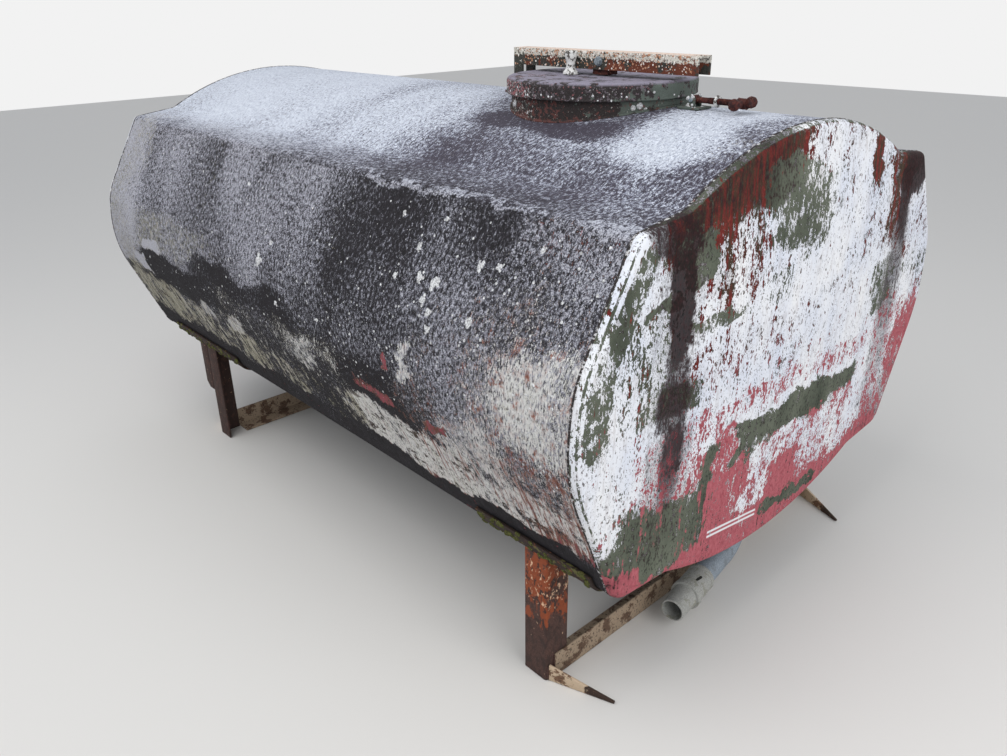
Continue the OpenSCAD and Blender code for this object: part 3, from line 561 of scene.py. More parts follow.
@dataclass(frozen=True)
class FlakedHeadPaint(Finish):
    """White oil paint over green and red oxide primers on a pressed steel head.

    The eye sees chalky white with torn edges, the two primers in its gaps, red rust under the
    crown and dark run-off down the valleys.
    """

    name: str = "pressed_head_white_over_primers"
    stripes: tuple[float, float] = (0.3935, 0.3795)    # height of each line at the middle of its length
    stripe_fall: float = 0.16                          # how much they fall across the head
    stripe_middle: float = -0.185

    def stripe(self, tree: Tree, where: Socket, height: float) -> Socket:
        """One thin painted line, falling slightly across the head.

        Args:
            tree: The material's tree.
            where: Object coordinates.
            height: Its height at the middle of its length.

        Returns:
            Its mask.
        """
        level = add(tree, "VectorMath DOT_PRODUCT",
                    (where, (0.0, self.stripe_fall, 1.0))).node.outputs["Value"]
        off = add(tree, "Math ABSOLUTE",
                  (add(tree, "Math SUBTRACT", (level, height + self.stripe_fall * self.stripe_middle)),))
        near = add(tree, "MapRange", (off, 0.0042, 0.0028))
        box = Patch(None, (-0.300, -0.070), (0.3, 0.5), (1.0,), 0.02).paint(tree, where, (0, 0, 0, 1))
        return add(tree, "Math MULTIPLY", (near, add(tree, "SeparateColor", (box,))))

    def colour(self, tree: Tree, where: Socket) -> dict[str, Any]:
        """Builds primers, top coat, chips, run-off and the two thin stripes.

        Args:
            tree: The material's tree.
            where: Object coordinates in metres.

        Returns:
            Inputs of the shader.
        """
        parts = add(tree, "SeparateXYZ", (where,)).node.outputs
        across, up = parts["Y"], parts["Z"]
        arch = add(tree, "Math SQRT",
                   (add(tree, "Math SUBTRACT",
                        (CROWN_RADIUS ** 2, add(tree, "Math MULTIPLY", (across, across)))),))
        below = add(tree, "Math SUBTRACT", (add(tree, "Math ADD", (arch, LEDGE_Z + CROWN - CROWN_RADIUS)),
                                            up))
        face = add(tree, "CombineXYZ", {"X": below, "Y": across, "Z": up})
        under: Any = (0.78, 0.76, 0.0, 1.0)
        torn = ragged(tree, ragged(tree, face, 0.14, (0.012, 0.036, 0.036)), 0.032, (0.003, 0.013, 0.013))
        for patch in HEAD_PATCHES:
            under = patch.paint(tree, torn, under)
        still = add(tree, "VectorMath ABSOLUTE", (where,))
        still = add(tree, "CombineXYZ", {"X": add(tree, "SeparateXYZ", (still,)), "Y": across, "Z": up})
        cover, green, _ = field_of(tree, still, under, RIM_PATCHES)
        stain, _, _ = field_of(tree, ragged(tree, where, 0.05, (0.0, 0.014, 0.03)), (0.0, 0.0, 0.0),
                               STAIN_PATCHES)
        chips = grain(tree, where, 0.028, (1, 1, 1.5), 6.0, 0.76)
        fine = grain(tree, where, 0.0065, (1, 1, 1.7), 3.0, 0.7)
        runs = grain(tree, where, 0.014, (1, 1, 9), 4.0, 0.68)
        cloud = grain(tree, where, 0.13, (1, 1, 1.8), 4.0)
        tone = mixed(tree, ((chips, 0.42), (fine, 0.36), (runs, 0.22)))
        # primers
        old = add(tree, "Mix RGBA", (flaked(tree, runs, 0.55, 0.06), "#64201c", "#3d3022"))
        old = add(tree, "Mix RGBA", (flaked(tree, fine, 0.3, 0.04), old, "#84332b"))
        pink = add(tree, "Mix RGBA", (add(tree, "MapRange", (fine, 0.3, 0.7)), "#94434d", "#bb6a71"))
        high = add(tree, "MapRange", (up, 0.78, 0.92))
        red = add(tree, "Mix RGBA", (high, pink, old))
        olive = add(tree, "Mix RGBA", (add(tree, "MapRange", (cloud, 0.3, 0.7)), "#3d4338", "#676c5e"))
        olive = add(tree, "Mix RGBA", (flaked(tree, mixed(tree, ((fine, 0.6), (chips, 0.4))), 0.30, 0.05),
                                       olive, "#2a2d26"))
        ground = add(tree, "Mix RGBA", (flaked(tree, mixed(tree, ((chips, 0.5), (runs, 0.5))), green, 0.02,
                                               0.36), red, olive))
        ground = add(tree, "Mix RGBA", (flaked(tree, mixed(tree, ((fine, 0.5), (runs, 0.5))), 0.17, 0.03),
                                        ground, "#2a2120"))
        # top coat
        level = add(tree, "Math MULTIPLY_ADD", (add(tree, "Math SUBTRACT", (cloud, 0.5)), 0.8, cover))
        coat = flaked(tree, tone, level, 0.008)
        # a dark ring just outside the top coat's torn edges: partly edge dirt, partly painted shade at the
        # chips' edges
        edge = add(tree, "Math MULTIPLY", (flaked(tree, tone, add(tree, "Math ADD", (level, 0.10)), 0.02),
                                           0.45))
        white = add(tree, "Mix RGBA", (add(tree, "MapRange", (cloud, 0.3, 0.7)), "#d3d8e4", "#e9e9ea"))
        grime = add(tree, "Math MULTIPLY", (flaked(tree, mixed(tree, ((runs, 0.6), (fine, 0.4))), 0.26, 0.08),
                                            0.38))
        white = add(tree, "Mix RGBA", (grime, white, "#a39a98"))
        fleck = add(tree, "Math MULTIPLY", (flaked(tree, mixed(tree, ((fine, 0.55), (chips, 0.45))), 0.12,
                                                   0.015), 0.8))
        white = add(tree, "Mix RGBA", (fleck, white, "#4b4543"))
        skin = add(tree, "Mix RGBA", (coat, add(tree, "Mix RGBA", (edge, ground, "#332524")), white))
        for height in self.stripes:
            skin = add(tree, "Mix RGBA",
                       (add(tree, "Math MULTIPLY", (self.stripe(tree, where, height), 0.92)), skin,
                        "#e6e6e8"))
        # run-off
        dirt = add(tree, "Math MULTIPLY_ADD", (add(tree, "Math SUBTRACT", (tone, 0.5)), 2.2, stain))
        dirt = add(tree, "MapRange SMOOTHSTEP", (dirt, 0.20, 0.86))
        soot = add(tree, "MapRange", (fine, 0.35, 0.68))
        skin = add(tree, "Mix RGBA", (add(tree, "Math MULTIPLY", (dirt, 0.97)), skin,
                                      add(tree, "Mix RGBA", (soot, "#080405", "#2f1518"))))
        lift = add(tree, "Math MULTIPLY_ADD", (flaked(tree, tone, 0.84, 0.02), 0.7,
                                               add(tree, "Math MULTIPLY", (tone, 1.6))))
        rough = add(tree, "MapRange", {"Value": chips, "To Min": 0.5, "To Max": 0.85})
        return {"Base Color": skin, "Roughness": rough, "Height": lift, "Specular IOR Level": 0.16}


@dataclass(frozen=True)
class LayeredCoat(Finish):
    """A surface built of a base and flaking or growing layers on it.

    Attributes:
        base: Two tones of the metal or paint underneath.
        layers: For each layer its two tones, its share, its grain in metres and its height in millimetres.
        pitting: Size in metres and depth in millimetres of the pits.
        rough: Lowest and highest roughness.
        metallic: Metallic share of the base.
        stretch: How much longer the grain runs along each axis.
        upward_crust_and_sky_sheen: Tones, share and grain of a layer on faces that look up: crust that
            settled there on the bar, painted sky reflection on the lid.
        zones: Number of a layer and a patch whose first value is the layer's share there.
        torn: How far the zones' edges are shaken along each axis, in metres.
    """

    base: tuple[str, str] = ("#5a5a5a", "#6a6a6a")
    layers: tuple[tuple[str, str, float, float, float], ...] = ()
    pitting: tuple[float, float] = (0.004, 0.6)
    rough: tuple[float, float] = (0.6, 0.95)
    metallic: float = 0.0
    stretch: Point = (1, 1, 1)
    upward_crust_and_sky_sheen: Optional[tuple[str, str, float, float]] = None
    zones: tuple[tuple[int, Patch], ...] = ()
    torn: Point = (0.02, 0.02, 0.012)

    def colour(self, tree: Tree, where: Socket) -> dict[str, Any]:
        """Builds the base and lays the layers on it.

        Args:
            tree: The material's tree.
            where: Object coordinates in metres.

        Returns:
            Inputs of the shader.
        """
        pits = grain(tree, where, self.pitting[0], self.stretch, 5.0, 0.65)
        cloud = grain(tree, where, 10 * self.pitting[0], self.stretch, 4.0)
        skin = add(tree, "Mix RGBA", (cloud, *self.base))
        skin = add(tree, "Mix RGBA", (add(tree, "MapRange", (pits, 0.45, 0.70)), skin, "#1c1715"))
        lift = add(tree, "Math MULTIPLY", (pits, self.pitting[1]))
        shaken = ragged(tree, where, 0.06, self.torn) if self.zones and any(self.torn) else where
        for i, (dark, light, share, size, height) in enumerate(self.layers):
            zones = [zone for layer, zone in self.zones if layer == i]
            share = field_of(tree, shaken, (share, 0.0, 0.0), zones)[0] if zones else share
            at = add(tree, "VectorMath ADD", (where, (3.1 * i + 1, 1.7 * i, 5.3 * i)))
            edge = grain(tree, at, size, self.stretch, 7.0, 0.68)
            mask = flaked(tree, edge, share, 0.02)
            skin = add(tree, "Mix RGBA", (mask, skin, add(tree, "Mix RGBA", (pits, dark, light))))
            lift = add(tree, "Math MULTIPLY_ADD", (mask, height, lift))
        # a layer on faces that look up: settled crust on the bar, painted sky reflection on the lid
        if self.upward_crust_and_sky_sheen:
            dark, light, share, size = self.upward_crust_and_sky_sheen
            facing = add(tree, "SeparateXYZ", (add(tree, "NewGeometry").node.outputs["Normal"],))
            on_top = add(tree, "MapRange", (facing.node.outputs["Z"], 0.45, 0.9))
            mask = add(tree, "Math MULTIPLY",
                       (on_top, flaked(tree, grain(tree, where, size, (1, 1, 1), 6.0, 0.7), share, 0.03)))
            skin = add(tree, "Mix RGBA", (mask, skin, add(tree, "Mix RGBA", (pits, dark, light))))
            lift = add(tree, "Math MULTIPLY_ADD", (mask, 0.7, lift))
        rough = add(tree, "MapRange", {"Value": cloud, "To Min": self.rough[0], "To Max": self.rough[1]})
        return {"Base Color": skin, "Roughness": rough, "Height": lift, "Metallic": self.metallic,
                "Specular IOR Level": 0.28}


SHELL = WeatheredShellPaint()
HEAD = FlakedHeadPaint()
# bare plate inside the tank: even brown rust with darker bloom
INSIDE = LayeredCoat("mill_plate_rusted_inside", ("#3a2620", "#4e3328"),
                     (("#251a17", "#33241e", 0.4, 0.06, 0.3),))
# painted spun steel: dark grey-brown film with a lilac cast, lichen in pink, white and green; the pale lilac
# on its faces that look up is painted sky reflection
LID = LayeredCoat("spun_lid_paint_weathered", ("#242020", "#3a3435"), (
    ("#4c4548", "#776d75", 0.30, 0.012, 0.2), ("#9d9a94", "#d2cdce", 0.08, 0.0055, 0.5),
    ("#7f3f40", "#b07a7e", 0.12, 0.009, 0.1), ("#3c433d", "#666f68", 0.06, 0.030, 0.1)), (0.003, 0.8),
    # pale lilac on the faces that look up: painted sky reflection
    upward_crust_and_sky_sheen=("#57505d", "#aaa5b4", 0.66, 0.03), zones=(
        (1, Patch((0.20, 0.60), (-0.32, 0.02), (1.40, 1.452), (0.34,), 0.8)),
        (2, Patch((0.20, 0.58), (-0.32, 0.02), (1.40, 1.452), (0.42,), 0.8)),
        (3, Patch((0.70, 0.95), (-0.13, 0.40), (1.40, 1.452), (0.66,), 0.8)),
        (3, Patch((0.30, 0.45), (-0.25, 0.02), (1.40, 1.452), (0.40,), 0.8))))
# painted rolled neck and lugs: the lid's dark film with more green, and rust along the foot
NECK = LayeredCoat("rolled_neck_paint_mossy", ("#231f1f", "#3d3635"), (
    ("#3f453f", "#626b64", 0.12, 0.05, 0.2), ("#432624", "#714843", 0.22, 0.012, 0.1),
    ("#9d9b95", "#d6d3cc", 0.07, 0.006, 0.6)), (0.003, 0.9), zones=(
        (0, Patch((0.66, 1.00), (-0.12, 0.40), None, (0.80,), 0.8)),
        (1, Patch((0.20, 0.66), None, None, (0.42,), 0.7)),
        (1, Patch(None, None, (1.30, 1.362), (0.60,), 0.5)),
        (2, Patch((0.20, 0.58), None, None, (0.26,), 0.7))))
# hot-rolled channel with old green paint: red rust shows through, thick orange and cream lichen on top
BAR = LayeredCoat("hot_rolled_channel_lichened", ("#2e2e2a", "#4c4c45"), (
    ("#4a211a", "#78432f", 0.22, 0.04, 0.1), ("#a8a397", "#e6e1d6", 0.10, 0.007, 1.0)), (0.003, 1.0),
    upward_crust_and_sky_sheen=("#cda083", "#f3ece2", 1.10, 0.006), torn=(0.012, 0.004, 0.004), zones=(
        (0, Patch((0.66, 0.92), None, None, (0.74,), 0.8)),
        (1, Patch(None, None, (1.500, 1.53), (0.66,), 0.6))))
# sand-cast iron: brown-red rust with dark pits
CAST = LayeredCoat("sand_cast_iron_rusted", ("#3a1a18", "#612e26"), (("#241112", "#361b1a", 0.4, 0.012, -0.3),
    ("#8d5240", "#b07a60", 0.08, 0.006, 0.3)), (0.002, 0.8))
# zinc-plated bolt gone dull: blue-grey with white bloom
ZINC = LayeredCoat("zinc_plate_dulled", ("#6f7b84", "#98a2a9"), (("#a9b0b3", "#c6c9c9", 0.25, 0.004, 0.1),
    ("#4a3a33", "#6a5044", 0.06, 0.006, 0.1)), (0.0015, 0.3), (0.45, 0.7), 0.25)
# white brush paint on the lid's small lug, chipped to dark primer
LUG = LayeredCoat("brush_paint_white_chipped", ("#56524e", "#6d6862"),
                  (("#c9c8c4", "#e6e5e2", 0.66, 0.012, 0.5), ("#3d3a36", "#54504a", 0.16, 0.005, -0.2)),
                  (0.002, 0.6))
# hot-rolled angle: brown rust all over; on the near posts' upper halves orange scale with pale flakes
ANGLE = LayeredCoat("hot_rolled_angle_rusted", ("#3e2b27", "#654941"), (
    ("#652f22", "#a5552f", 0.08, 0.06, 0.3), ("#2b1f1e", "#4a3832", 0.44, 0.02, 0.2),
    ("#d1a27c", "#efd0b0", 0.0, 0.011, 0.4)), (0.003, 1.0), stretch=(1, 1, 1.6), zones=(
        (0, Patch((0.90, 1.30), None, (0.185, 0.60), (0.62,), 0.6)),
        (0, Patch((-1.1, -0.60), None, None, (-0.05,), 0.5)),
        (1, Patch((0.90, 1.30), None, (0.185, 0.60), (0.36,), 0.6)),
        (1, Patch((-1.1, -0.60), None, None, (0.62,), 0.5)),
        (2, Patch((0.90, 1.30), None, (0.24, 0.37), (0.24,), 0.9))))
# rolled strip under the tank, always damp: dark brown rust with moss-green and orange scale
SADDLE = LayeredCoat("rolled_strip_rusted_mossy", ("#261d1a", "#3d2e28"), (
    ("#4d4a2c", "#6d6a3c", 0.22, 0.03, 0.8), ("#6d3f2a", "#8a5a3c", 0.14, 0.02, 0.2)), (0.004, 1.0))
# angle on the ground, its face dusted with sand
GROUND = LayeredCoat("hot_rolled_angle_dusty", ("#5a4133", "#7a6350"), (
    ("#8a7763", "#a8957f", 0.60, 0.05, 0.2), ("#2b211c", "#3c2e27", 0.24, 0.006, -0.1)), (0.003, 0.9))
# flame-cut plate: sandy dust towards its foot; dark brown and without sand at its tip, partly bare rust and
# partly painted shade under the tank
SPUR = LayeredCoat("flame_cut_plate_dusty", ("#6f4f3c", "#8f7058"),
                   (("#b39b81", "#d2bda2", 0.62, 0.04, 0.3), ("#2d201b", "#43332a", 0.14, 0.008, -0.1)),
                   # the tips: dark and without sand, partly bare rust and partly painted shade
                   (0.003, 0.9), zones=((0, Patch((1.175, 1.40), None, None, (0.0,), 0.5)),
                                        (1, Patch((1.175, 1.40), None, None, (0.9,), 0.5)),
                                        (0, Patch((-1.40, -0.985), None, None, (0.0,), 0.5)),
                                        (1, Patch((-1.40, -0.985), None, None, (0.9,), 0.5))))
# aluminium casting and pipe, oxidised to a dull grey-green; the dark slot is painted shade standing in for a
# gap in the casting's skin
CAST_ALLOY = LayeredCoat("aluminium_casting_oxidised", ("#a2a29d", "#c0c0ba"), (
    ("#828177", "#99988d", 0.32, 0.03, 0.05), ("#b4b4aa", "#c6c6bd", 0.14, 0.006, 0.05),
    ("#1e1c1a", "#2a2826", -0.6, 0.004, -0.5)), (0.0012, 0.2), (0.55, 0.85), 0.15, torn=(0, 0, 0), zones=(
        # the slot: painted shade where the casting's skin has a gap
        (2, Patch((1.1600, 1.1670), (-0.150, -0.122), (0.09, 0.14), (1.6,), 0.1)),))
# drawn aluminium pipe: blue-grey and matt, with dull patches
ALLOY_PIPE = LayeredCoat("aluminium_pipe_dull", ("#8e99a4", "#aab4bd"), (
    ("#747a80", "#868d92", 0.26, 0.03, 0.1),), (0.0015, 0.2), (0.5, 0.8), 0.2)
# thick crusted paint and weld metal at the head seam
SEAM = LayeredCoat("weld_bead_overpainted", ("#232020", "#3c3838"), (
    ("#a9a7a8", "#dad8d8", 0.34, 0.012, 0.6), ("#5c3a34", "#7d5148", 0.14, 0.01, 0.1)), (0.003, 1.0))
# lichen crusts: chalky white with a warm grey edge
THALLUS = LayeredCoat("crust_lichen_chalky", ("#b7b6b6", "#cfcfd0"), (("#dcdcdc", "#efeff0", 0.5, 0.004, 0.5),
    ("#8f8d8c", "#a5a3a0", 0.12, 0.003, -0.2)), (0.0015, 0.8), (0.85, 1.0))
# lichen on the bar: orange and cream cushions, rough and matt
BAR_CRUST = LayeredCoat("crust_lichen_orange_cream", ("#c08360", "#d9a888"),
                        (("#e4ddd2", "#f0ebe4", 0.46, 0.012, 0.4), ("#8d5a3e", "#a3714f", 0.12, 0.005, -0.2)),
                        (0.0015, 0.8), (0.85, 1.0))
# moss cushions: dull olive with paler tips
MOSS = LayeredCoat("cushion_moss", ("#3a3d1e", "#5b5f2c"), (("#6d7038", "#86884c", 0.35, 0.003, 0.5),),
                   (0.0015, 1.0), (0.9, 1.0))


# ---------------------------------------------------------------- meshes


def linked(name: str, data: Any) -> Object:
    """Makes an object and puts it in the scene.

    Args:
        name: Its name.
        data: Its mesh, lamp or camera.

    Returns:
        The object.
    """
    made = bpy.data.objects.new(name, data)
    bpy.context.scene.collection.objects.link(made)
    return made


def piece(name: str, mesh: Mesh, *finishes: Finish) -> Object:
    """Puts a mesh in the scene at the origin.

    Args:
        name: The piece's name.
        mesh: Its mesh, already in place.
        *finishes: Its materials, in order of material index.

    Returns:
        The object.
    """
    mesh.name = name
    mesh.materials.clear()
    for finish in finishes:
        mesh.materials.append(finish.material())
    return linked(name, mesh)


def settle(made: Object) -> Object:
    """Turns modifiers into a plain mesh and removes them.

    Args:
        made: The object.

    Returns:
        The same object.
    """
    bpy.context.view_layer.update()
    plain = bpy.data.meshes.new_from_object(made.evaluated_get(bpy.context.evaluated_depsgraph_get()))
    made.modifiers.clear()
    old, made.data = made.data, plain
    plain.name = made.name
    bpy.data.meshes.remove(old)
    return made


def shade(made: Object, angle: float = 35.0) -> Object:
    """Shades smooth, with edges sharper than an angle left sharp.

    Args:
        made: The object.
        angle: The angle in degrees.

    Returns:
        The same object.
    """
    made.data.shade_smooth()
    made.data.set_sharp_from_angle(angle=math.radians(angle))
    return made


def install(made: Object, body: Body, slot: Slot, *nodes: str) -> Object:
    """Lets a finished piece ride and hides the CAD nodes that it stands for.

    Args:
        made: The object.
        body: The body that it moves with.
        slot: The record's material slot; not used.
        *nodes: The CAD nodes that it replaces.

    Returns:
        The same object.
    """
    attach(made, body.value)
    if nodes:
        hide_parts(*nodes)
    log.info("%s: %d faces, rides on %s", made.name, len(made.data.polygons), body.value)
    return made


@contextmanager
def edited(mesh: Mesh, heal: bool = False) -> Iterator[bmesh.types.BMesh]:
    """Opens a mesh for editing and writes it back afterwards.

    Args:
        mesh: The mesh.
        heal: Whether doubles are merged and normals turned outwards at the end.

    Yields:
        The mesh in a form that can be edited.
    """
    work = bmesh.new()
    work.from_mesh(mesh)
    yield work
    if heal:
        bmesh.ops.remove_doubles(work, verts=work.verts, dist=1e-6)
        bmesh.ops.recalc_face_normals(work, faces=work.faces)
    work.to_mesh(mesh)
    work.free()


def quads(index: np.ndarray) -> np.ndarray:
    """Faces, four numbers a row, of a two-dimensional grid of vertex numbers."""
    return np.stack([index[:-1, :-1], index[1:, :-1], index[1:, 1:], index[:-1, 1:]], -1).reshape(-1, 4)


def slab(name: str, outer: np.ndarray, inner: np.ndarray, run: Optional[np.ndarray] = None,
         around: bool = False) -> Mesh:
    """A plate between two grids of points, closed at its edges.

    Args:
        name: The mesh's name.
        outer: Points of the outer face, rows by columns by three.
        inner: Points of the inner face, in the same layout.
        run: Flat coordinates for each point, for a UV map named run.
        around: Whether the columns close on themselves.

    Returns:
        The mesh, its inner face on material index one.
    """
    rows, columns = outer.shape[:2]
    index = np.arange(rows * columns).reshape(rows, columns)
    if around:
        index = np.concatenate([index, index[:, :1]], 1)
    far = index + rows * columns
    rims = [np.stack([index[0], far[0]]), np.stack([index[-1], far[-1]])]
    if not around:
        rims += [np.stack([index[:, 0], far[:, 0]]), np.stack([index[:, -1], far[:, -1]])]
    faces = np.concatenate([quads(index), *[quads(r) for r in rims], quads(far)])
    points = np.concatenate([outer.reshape(-1, 3), inner.reshape(-1, 3)])
    mesh = bpy.data.meshes.new(name)
    mesh.from_pydata(points.tolist(), [], faces.tolist())
    inside = np.zeros(len(faces), np.int32)
    inside[-len(quads(far)):] = 1
    mesh.polygons.foreach_set("material_index", inside)
    if run is not None:
        layer = mesh.uv_layers.new(name="run")
        corners = np.zeros(len(mesh.loops), np.int32)
        mesh.loops.foreach_get("vertex_index", corners)
        flat = np.concatenate([run.reshape(-1, 2)] * 2)
        layer.data.foreach_set("uv", flat[corners].astype(np.float32).ravel())
    with edited(mesh, heal=True):
        pass
    return mesh


def lathed(name: str, profile: Sequence[tuple[float, float]], place: Matrix, steps: int = 96,
           wobble: float = 0.0) -> Mesh:
    """A turned shape about the local Z axis.

    Args:
        name: The mesh's name.
        profile: Radius and height of each point; the ends may lie on the axis.
        place: Where the local frame goes.
        steps: Faces round the axis.
        wobble: Uneven hand work or dents, in metres.

    Returns:
        The mesh.
    """
    ring = np.linspace(0, 2 * math.pi, steps, endpoint=False)
    points = []
    for r, z in profile:
        for t in ring:
            p = Vector((r * math.cos(t), r * math.sin(t), z))
            if wobble:
                p = p + noise.noise_vector(p * 30) * wobble * min(1.0, r / 0.01)
            points.append(place @ p)
    count = len(profile)
    index = np.arange(count * steps).reshape(count, steps)
    index = np.concatenate([index, index[:, :1]], 1)
    if profile[0] != profile[-1] and (profile[0][0] > 1e-7 or profile[-1][0] > 1e-7):
        index = np.concatenate([index, index[:1]], 0)
    mesh = bpy.data.meshes.new(name)
    mesh.from_pydata([tuple(p) for p in points], [], quads(index).tolist())
    with edited(mesh, heal=True):
        pass
    return mesh


def rounded_profile(corners: Sequence[tuple[float, float, float]],
                    steps: int = 4) -> list[tuple[float, float]]:
    """Rounds the corners of a turned profile.

    Args:
        corners: Radius, height and rounding of each corner.
        steps: Points on each rounding.

    Returns:
        The profile.
    """
    found: list[tuple[float, float]] = []
    for i, (r, z, fillet) in enumerate(corners):
        if fillet <= 0 or i in (0, len(corners) - 1):
            found.append((r, z))
            continue
        here = Vector((r, z))
        before, after = (Vector(corners[j][:2]) - here for j in (i - 1, i + 1))
        reach = min(fillet, before.length / 2, after.length / 2)
        a, b = here + before.normalized() * reach, here + after.normalized() * reach
        for k in range(steps + 1):
            t = k / steps
            p = a * (1 - t) ** 2 + here * 2 * t * (1 - t) + b * t * t
            found.append((p.x, p.y))
    return found


def softened(node: str, edge: float, finish: Finish, name: Optional[str] = None) -> Object:
    """A copy of a CAD node with its sharp edges eased.

    Args:
        node: The CAD node.
        edge: Width of the easing in metres.
        finish: Its material.
        name: The new piece's name, or None for the node's with an ending.

    Returns:
        The object.
    """
    work = bmesh.new()
    work.from_mesh(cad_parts[node].data)
    bmesh.ops.remove_doubles(work, verts=work.verts, dist=1e-5)
    bmesh.ops.dissolve_limit(work, angle_limit=math.radians(0.5), verts=work.verts, edges=work.edges)
    mesh = bpy.data.meshes.new(node)
    work.to_mesh(mesh)
    work.free()
    made = piece(name or f"{node}_dressed", mesh, finish)
    bevel = made.modifiers.new("edge", "BEVEL")
    bevel.width, bevel.segments, bevel.limit_method = edge, 2, "ANGLE"
    bevel.angle_limit, bevel.use_clamp_overlap = math.radians(38), True
    return shade(settle(made), 40)


# ---------------------------------------------------------------- the tank's section


@dataclass(frozen=True)
class Section:
    """Outline of the tank across its length, with z from the ledge edge, as in the part's source."""

    ledge_half: float = 0.630
    crown_half: float = 0.473
    crown_radius: float = CROWN_RADIUS
    belly_half: float = 0.808
    belly_depth: float = 0.470
    base_half: float = 0.648
    base_depth: float = 0.862
    keel_half: float = 0.460
    keel_height: float = 0.106
    keel_radius: float = 1.220
    notch_radius: float = 0.060
    ledge_radius: float = 0.028
    base_radius: float = 0.060
    setback: float = 0.018
    shoulder: tuple[float, float] = (0.90, 0.585)    # its place from the ledge to the belly, across and down
    shoulder_share: float = 0.30                     # share of the edge between them that each fillet takes
    belly_share: float = 0.50

    def corners(self) -> list[tuple[float, float, float, int]]:
        """Finds the corners of the outline.

        Returns:
            y, z, rounding and steps of each, counter-clockwise from the crown.
        """
        crown = math.asin((self.crown_half - self.setback) / self.crown_radius)
        apex = CROWN - self.crown_radius + self.crown_radius / math.cos(crown)
        notch = (self.crown_half, apex - self.crown_half * math.tan(crown))
        keel_turn = math.asin((self.keel_half - self.setback) / self.keel_radius)
        keel = -self.base_depth - self.keel_height + self.keel_radius - self.keel_radius / math.cos(keel_turn)
        foot = (self.keel_half, keel + self.keel_half * math.tan(keel_turn))
        ledge, belly = (self.ledge_half, 0.0), (self.belly_half, -self.belly_depth)
        base = (self.base_half, -self.base_depth)
        upper = (ledge[0] + self.shoulder[0] * (belly[0] - ledge[0]), self.shoulder[1] * belly[1])
        edge = math.dist(belly, upper)
        half = [(*notch, self.notch_radius, 5), (*ledge, self.ledge_radius, 5),
                (*upper, self.fillet(ledge, upper, belly, self.shoulder_share * edge), 4),
                (*belly, self.fillet(upper, belly, base, self.belly_share * edge), 5),
                (*base, self.base_radius, 7), (*foot, self.notch_radius, 3)]
        mirrored = [(-y, z, r, n) for y, z, r, n in half]
        return [(0.0, apex, self.crown_radius, 16), *mirrored, (0.0, keel, self.keel_radius, 12), *half[::-1]]

    @staticmethod
    def fillet(p: Sequence[float], c: Sequence[float], q: Sequence[float], t: float) -> float:
        """Radius of the arc at corner c that takes up the length t of each edge.

        Args:
            p: The corner before.
            c: The corner.
            q: The corner after.
            t: The length.

        Returns:
            The radius.
        """
        turn = (Vector(c) - Vector(p)).angle(Vector(q) - Vector(c))
        return t / math.tan(turn / 2)

    def arc(self, i: int, inset: float = 0.0, detail: int = 1) -> list[tuple[float, float]]:
        """Points of one rounded corner.

        Args:
            i: The corner's number.
            inset: How far inwards, in metres.
            detail: How many times finer than the part's source.

        Returns:
            The points.
        """
        v = self.corners()
        p, c, q = (Vector(v[j % len(v)][:2]) for j in (i - 1, i, i + 1))
        a, b = (c - p).normalized(), (q - c).normalized()
        turn = math.atan2(a.x * b.y - a.y * b.x, a.dot(b))
        side = 1 if turn > 0 else -1
        radius, steps = v[i][2], v[i][3] * detail
        start = c - a * radius * math.tan(abs(turn) / 2)
        centre = start + side * radius * Vector((-a.y, a.x))
        first = math.atan2(start.y - centre.y, start.x - centre.x)
        reach = radius - side * inset
        return [(centre.x + reach * math.cos(first + turn * k / steps),
                 centre.y + reach * math.sin(first + turn * k / steps)) for k in range(steps + 1)]

    def outline(self, inset: float = 0.0, detail: int = 1) -> list[tuple[float, float]]:
        """Points of the whole outline.

        Args:
            inset: How far inwards, in metres.
            detail: How many times finer than the part's source.

        Returns:
            The points, counter-clockwise from the crown.
        """
        return [p for i in range(CORNERS) for p in self.arc(i, inset, detail)]

    def run(self, first: int, last: int, inset: float, detail: int,
            closed_ends: bool) -> list[tuple[float, float]]:
        """Points of one sheet, from corner to corner.

        Args:
            first: The first corner of the sheet.
            last: The last corner of the sheet.
            inset: How far inwards.
            detail: How fine.
            closed_ends: Whether the sheet starts and ends at its neighbours' tangent points.

        Returns:
            The points.
        """
        span = range(first, last + 1)
        found = [p for i in span for p in self.arc(i % CORNERS, inset, detail)]
        if closed_ends:
            found = [self.arc((first - 1) % CORNERS, inset, detail)[-1], *found,
                     self.arc((last + 1) % CORNERS, inset, detail)[0]]
        return found

    def crown_at(self, y: float) -> float:
        """Height of the crown over the ground at a distance y from its middle."""
        return LEDGE_Z + CROWN - self.crown_radius + math.sqrt(self.crown_radius ** 2 - y * y)


def divided(outer: Sequence[tuple[float, float]], inner: Sequence[tuple[float, float]], longest: float
            ) -> tuple[np.ndarray, np.ndarray]:
    """Divides the long steps of two matched lines.

    Args:
        outer: The line that sets the steps.
        inner: The line beside it, point for point.
        longest: Longest step in metres.

    Returns:
        Both lines as arrays.
    """
    a, b = [np.array(outer[0])], [np.array(inner[0])]
    for p0, p1, q0, q1 in zip(outer, outer[1:], inner, inner[1:]):
        parts = max(1, math.ceil(math.dist(p0, p1) / longest))
        for k in range(1, parts + 1):
            a.append(np.array(p0) + (np.array(p1) - p0) * k / parts)
            b.append(np.array(q0) + (np.array(q1) - q0) * k / parts)
    return np.array(a), np.array(b)


